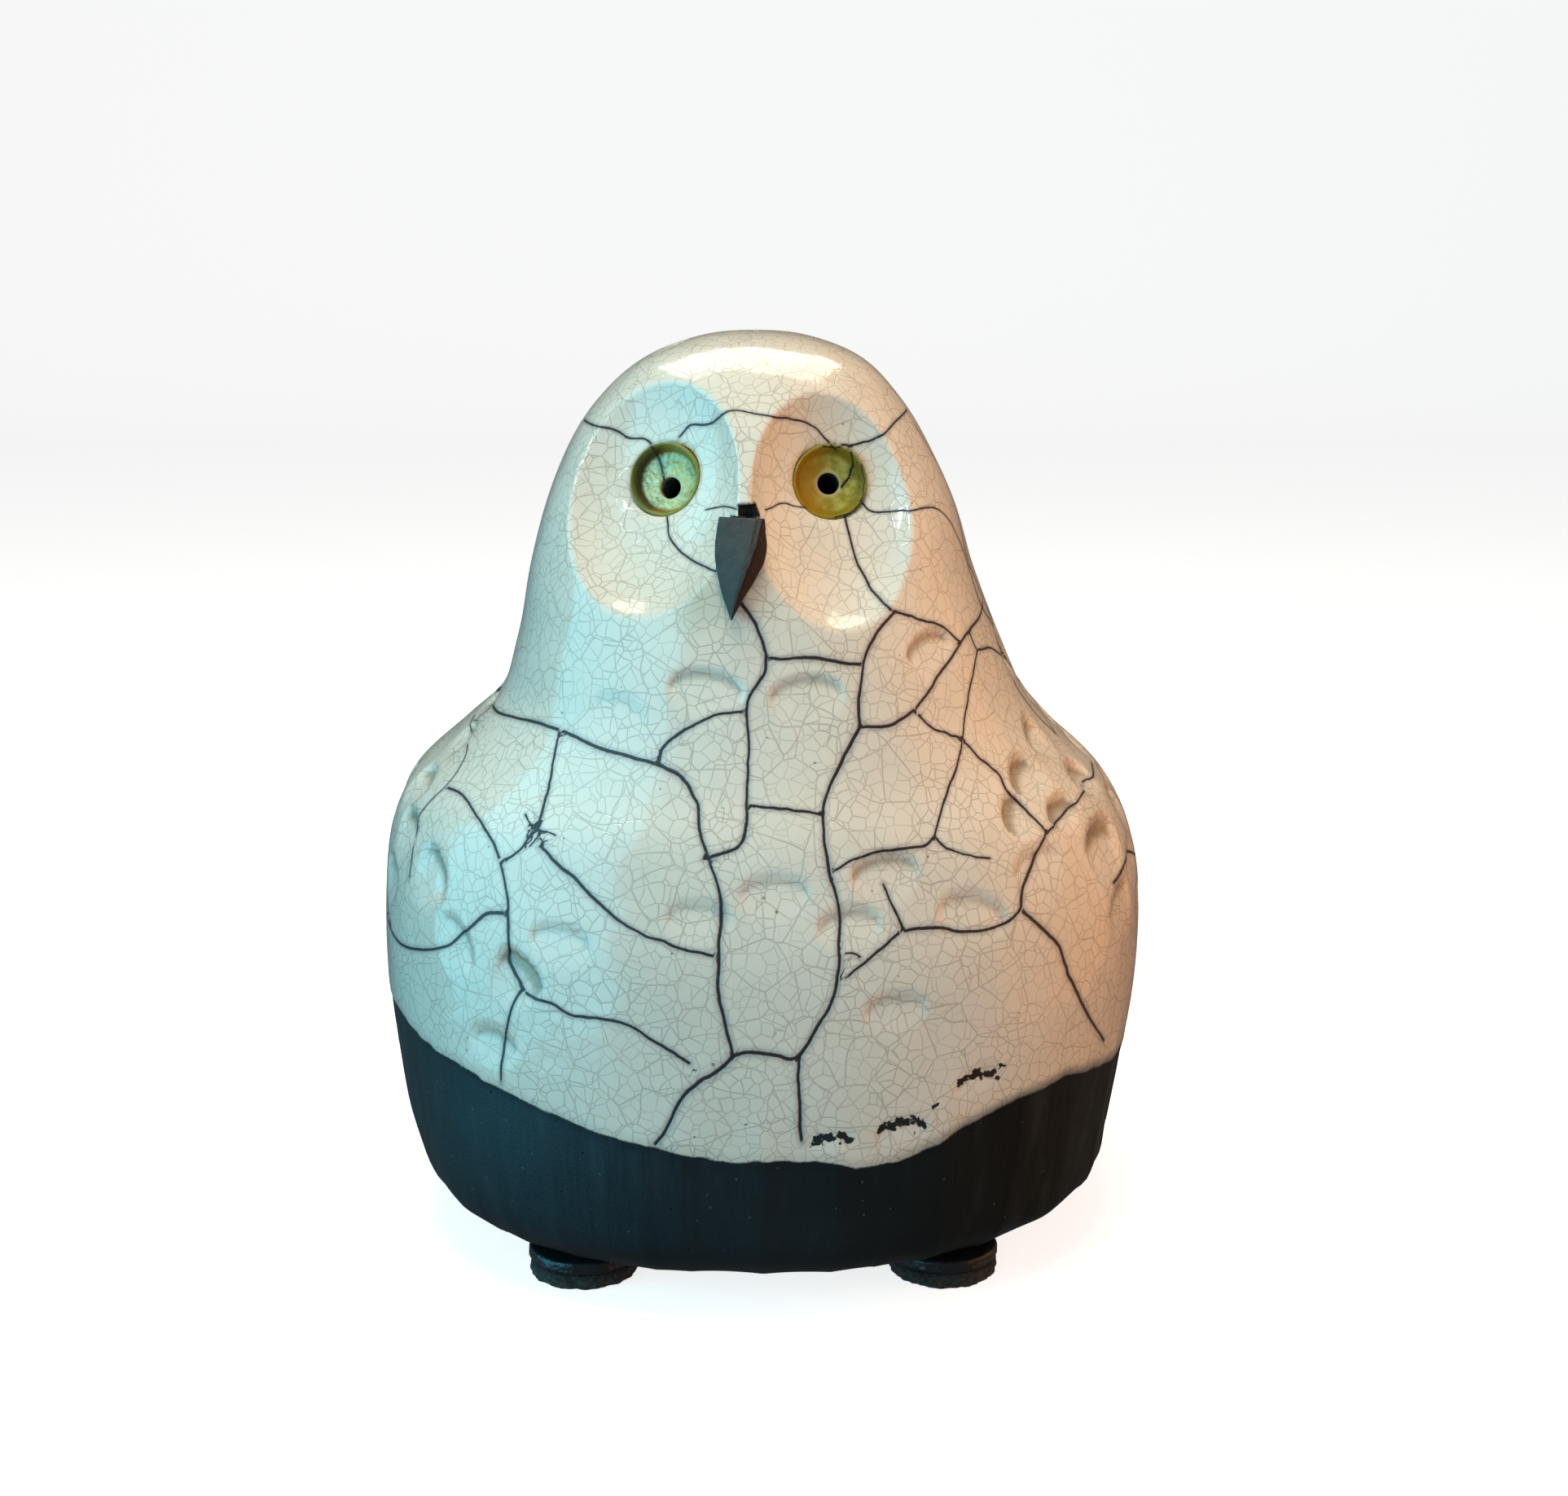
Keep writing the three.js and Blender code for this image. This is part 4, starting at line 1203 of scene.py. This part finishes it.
def make_eye(word, half, material):
    """A dished cup with a rolled rim, a flat ring and an open pupil that stands off its middle."""
    radius, below, rim, ring = EYE["radius"], EYE["below"], EYE["rim"], EYE["ring"]
    inner, pupil = EYE["ring_radius"], EYE["pupil"]
    roll, lip = 0.4, 0.3
    turn = np.linspace(0, math.pi / 2, 8)
    rim_out = np.column_stack([radius - roll * (1 - np.cos(turn)), rim - roll * (1 - np.sin(turn))])
    dip = np.linspace(0, 1, 14)[1:]
    wall_out = radius - roll
    wall = np.column_stack([
        wall_out - (wall_out - inner) * dip,
        rim - (rim - ring) * np.sin(dip * math.pi / 2) ** 1.3,
    ])
    flat = np.column_stack([np.linspace(inner, pupil + lip, 12)[1:], np.full(11, ring)])
    lip_in = np.column_stack([pupil + lip * (1 - np.sin(turn)), ring - lip * (1 - np.cos(turn))])[1:]
    bore = [[pupil, -below], [radius - 0.3, -below], [radius, -below + 0.3]]
    profile = np.vstack([rim_out, wall, flat, lip_in, bore])[::-1]
    points, faces = hooped_grid(turned_rings(profile, 120))
    out = np.hypot(points[:, 0], points[:, 1])
    top = points[:, 2] > ring - 1
    seed = 51 if half["side"] < 0 else 61
    uneven = 0.10 * soft_noise(points, 2.6, seed) + 0.04 * soft_noise(points, 0.9, seed + 1) - 0.05
    points[:, 2] += np.where((out > pupil + 0.1) & top, uneven, 0)
    # the pupil drags the ring with it, and the wall stays put
    follow = 1 - smooth_step(pupil + lip, inner - 0.2, out)
    points[:, :2] += follow[:, None] * np.array(half["eye"]["pupil"])
    from_pupil = np.linalg.norm(points[:, :2] - np.array(half["eye"]["pupil"]), axis=1)
    world = from_frame(eye_frame(half), points)
    eye = new_piece(f"owl_eye_{word}", world, faces, material, "eye_glaze", f"eye_cup_{word}")
    set_attribute(eye, "from_axis", out)
    set_attribute(eye, "from_pupil", from_pupil)
    across = points[:, 0] / radius
    amber_lamp_light, window_reflection = (1, 0) if word == "left" else (0, 1)  # the owl's left eye takes painted amber lamplight; its right eye a painted window reflection and painted shade
    set_attribute(eye, "window_reflection", window_reflection * (0.55 + 0.4 * smooth_step(0.6, -0.6, across)))
    set_attribute(eye, "amber_lamp_light", amber_lamp_light * smooth_step(0.35, -0.6, across))
    set_attribute(eye, "shaded", window_reflection * smooth_step(0.25, -0.6, across))
    return eye


def make_floor(material):
    """The slab in the body's mouth, with a vent, softened edges and a slightly dished underside."""
    top, vent = FLOOR["top"], FLOOR["vent"]
    columns = 180
    angles = round_angles(columns)
    edge = plan_rings(np.array([[0, FLOOR["half_width"], FLOOR["half_depth"], 0, 0]]), angles)[0][:, :2]
    hole = np.column_stack([vent * np.cos(angles), vent * np.sin(angles)])
    # the outline of a cut: how far each point lies from the vent to the edge, and its height
    soft = 0.8
    path = [(t, top) for t in (0, 0.03, 0.3, 0.6, 0.9, 0.985)]
    path += [(1, top - soft), (1, FOOT_HEIGHT + soft)]
    path += [(t, FOOT_HEIGHT) for t in (0.985, *np.linspace(0.97, 0.05, 40))]
    path += [(0.012, FOOT_HEIGHT + 0.2), (0, FOOT_HEIGHT + soft), (0, top - soft)]
    rings = np.array([np.column_stack([hole * (1 - t) + edge * t, np.full(columns, z)]) for t, z in path])
    under = rings[..., 2] < FOOT_HEIGHT + 0.1
    flat = rings.reshape(-1, 3)
    uneven = 0.18 + 0.14 * soft_noise(flat, 11, 71) + 0.05 * soft_noise(flat, 2.4, 72)
    rings[..., 2] += np.where(under, uneven.reshape(rings.shape[:2]), 0)
    new_piece("owl_floor", *hooped_grid(rings), material, "smoked_clay", "floor_slab")


def pad_profile(radius, low, high, soft, rows):
    """Half of a pad's outline, from the axis below to the axis above."""
    turn = np.linspace(0, math.pi / 2, 6)
    lower = np.column_stack([radius - soft + soft * np.sin(turn), low + soft - soft * np.cos(turn)])
    upper = np.column_stack([radius - soft + soft * np.cos(turn), high - soft + soft * np.sin(turn)])
    side = np.column_stack([np.full(rows, radius), np.linspace(low + soft, high - soft, rows + 2)[1:-1]])
    inward = np.linspace(0.15, 1, 12)[:, None] * [radius - soft, 0]
    return np.vstack([inward[:-1] + [0, low], lower, side, upper, inward[:-1][::-1] + [0, high]])


def pad_skin(radius, low, high, soft, rows, centre, columns=96):
    """Points and faces of a round pad with softened edges."""
    rings = turned_rings(pad_profile(radius, low, high, soft, rows), columns, centre)
    return closed_grid(rings, (*centre, low), (*centre, high))


def push_from(points, centre, reach):
    """Moves each point that far away from the upright axis at centre."""
    out = points[:, :2] - np.array(centre)
    away = np.maximum(np.linalg.norm(out, axis=1, keepdims=True), 1e-6)
    points[:, :2] += out / away * reach[:, None]


def make_pad(end, word, seed, rubber, felt):
    """One foot: a rubber disc with a felt disc below it, whose edges are a little ragged."""
    side = FACE[word]["side"]
    centre = (side * PAD["x"], PAD["y"] if end == "rear" else -PAD["y"])
    low, high = PAD["felt"] + GAP, FOOT_HEIGHT - GAP
    points, faces = pad_skin(PAD["radius"] - 0.25, low, high, 0.7, 5, centre)
    edge = smooth_step(6, 9.5, np.linalg.norm(points[:, :2] - np.array(centre), axis=1))
    uneven = 0.18 * soft_noise(points, 2.6, seed) + 0.08 * soft_noise(points, 1.1, seed + 1)
    push_from(points, centre, edge * uneven)
    new_piece(f"pad_rubber_{end}_{word}", points, faces, rubber, "pad_rubber", f"foot_rubber_{end}_{word}")

    points, faces = pad_skin(PAD["radius"] - 0.4, 0, PAD["felt"], 0.55, 7, centre, 160)
    edge = smooth_step(6, 9.3, np.linalg.norm(points[:, :2] - np.array(centre), axis=1))
    ragged = 0.3 * soft_noise(points, 1.5, seed + 2) + 0.22 * soft_noise(points, 0.7, seed + 3)
    push_from(points, centre, edge * ragged)
    lift = np.clip(0.25 * soft_noise(points, 1.8, seed + 4), 0, None) * edge
    points[:, 2] = np.clip(points[:, 2] + np.where(points[:, 2] < 0.4, lift, 0), 0, PAD["felt"])
    new_piece(f"pad_felt_{end}_{word}", points, faces, felt, "pad_felt", f"foot_felt_{end}_{word}")


# ---- Stage, lights and camera ----
def make_stage():
    """A pale floor that sweeps up far behind the owl."""
    back, bend, height = 1500, 500, 1600
    turn = np.linspace(0, math.pi / 2, 16)
    curve = [(back + bend * math.sin(a), bend * (1 - math.cos(a))) for a in turn]
    path = [(-2500, 0), (back, 0)] + curve + [(back + bend, height)]
    points = [(x, y, z) for y, z in path for x in (-3000, 3000)]
    faces = [(2 * i, 2 * i + 1, 2 * i + 3, 2 * i + 2) for i in range(len(path) - 1)]
    sweep = new_object("sweep", points, faces)
    sweep.data.shade_smooth()
    paper = Graph("paper").finish(
        (0.86, 0.86, 0.86), 0.9, 0.0, Emission_Color=(1, 1, 1, 1), Emission_Strength=0.78
    )
    sweep.data.materials.append(paper)
    sweep.visible_diffuse = sweep.visible_glossy = False  # its glare would wash the owl out


def area_light(name, place, size, power, colour, diffuse=True, glossy=True):
    """A soft box aimed at the owl, which may light it only, or show in the glaze's shine only."""
    data = bpy.data.lights.new(name, "AREA")
    data.shape = "RECTANGLE"
    data.size, data.size_y = size
    data.energy = power
    data.color = colour
    lamp = bpy.data.objects.new(name, data)
    lamp.location = place
    owl_middle = Vector((0, 0, 0.09))
    lamp.rotation_euler = (owl_middle - Vector(place)).to_track_quat("-Z", "Y").to_euler()
    lamp.visible_diffuse, lamp.visible_glossy = diffuse, glossy
    bpy.context.collection.objects.link(lamp)


def make_view():
    bpy.context.scene.view_settings.view_transform = "Standard"


def make_lights():
    """A blue window on the owl's right, an orange lamp on its left, and a cream ceiling."""
    cyan, amber_lamp_light = (0.12, 0.76, 1.0), (1.0, 0.37, 0.05)
    cream, white = (1.0, 0.92, 0.74), (0.95, 1.0, 0.96)
    area_light("window", (-0.60, -0.36, 0.22), (0.5, 0.5), 3.4, cyan, glossy=False)
    area_light("window_shine", (-0.66, -0.30, 0.22), (0.95, 1.0), 8.5, cyan, diffuse=False)
    area_light("window_glint", (-0.38, -0.38, 0.66), (0.05, 0.10), 0.8, (0.75, 0.97, 1.0), diffuse=False)
    area_light("lamp", (0.62, -0.12, 0.20), (0.5, 0.5), 2.2, amber_lamp_light, glossy=False)
    area_light("lamp_shine", (0.72, -0.05, 0.22), (0.8, 0.9), 2.2, amber_lamp_light, diffuse=False)
    area_light("ceiling", (-0.04, -0.10, 0.75), (0.35, 0.35), 3.4, cream, glossy=False)
    area_light("ceiling_shine", (0.0, 0.36, 0.72), (0.6, 0.4), 4.0, cream, diffuse=False)
    area_light("front", (0.0, -0.80, 0.16), (0.7, 0.5), 2.1, white, glossy=False)
    world = bpy.data.worlds.new("room")
    world.use_nodes = True
    background = world.node_tree.nodes["Background"]
    background.inputs["Color"].default_value = (0.92, 0.96, 0.94, 1)
    background.inputs["Strength"].default_value = 0.12
    bpy.context.scene.world = world


def make_camera():
    """The photo's view, from a little above and a little to one side of straight ahead."""
    data = bpy.data.cameras.new("camera")
    data.sensor_width = 36
    data.lens = 54.46
    data.clip_start = 0.01
    camera = bpy.data.objects.new("camera", data)
    camera.location = (0, -0.430, 0.185)
    pitch, yaw = 12.85, 0.54
    camera.rotation_euler = Euler((math.radians(90 - pitch), 0, math.radians(-yaw)))
    bpy.context.collection.objects.link(camera)
    bpy.context.scene.camera = camera


# ---- Assembly ----
glazed = [make_body(glaze_material())]
eye_glaze = eye_material()
for word, half in FACE.items():
    glazed.append(make_eye(word, half, eye_glaze))
cracks = Cracks(glazed)
for piece in glazed:
    cracks.mark(piece)
make_floor(floor_material())
make_beak(beak_material())
pad_rubber, pad_felt = rubber_material(), felt_material()
for end, seed in (("front", 80), ("rear", 100)):
    for word in FACE:
        make_pad(end, word, seed + FACE[word]["side"] * 5, pad_rubber, pad_felt)
make_stage()
make_view()
make_lights()
make_camera()
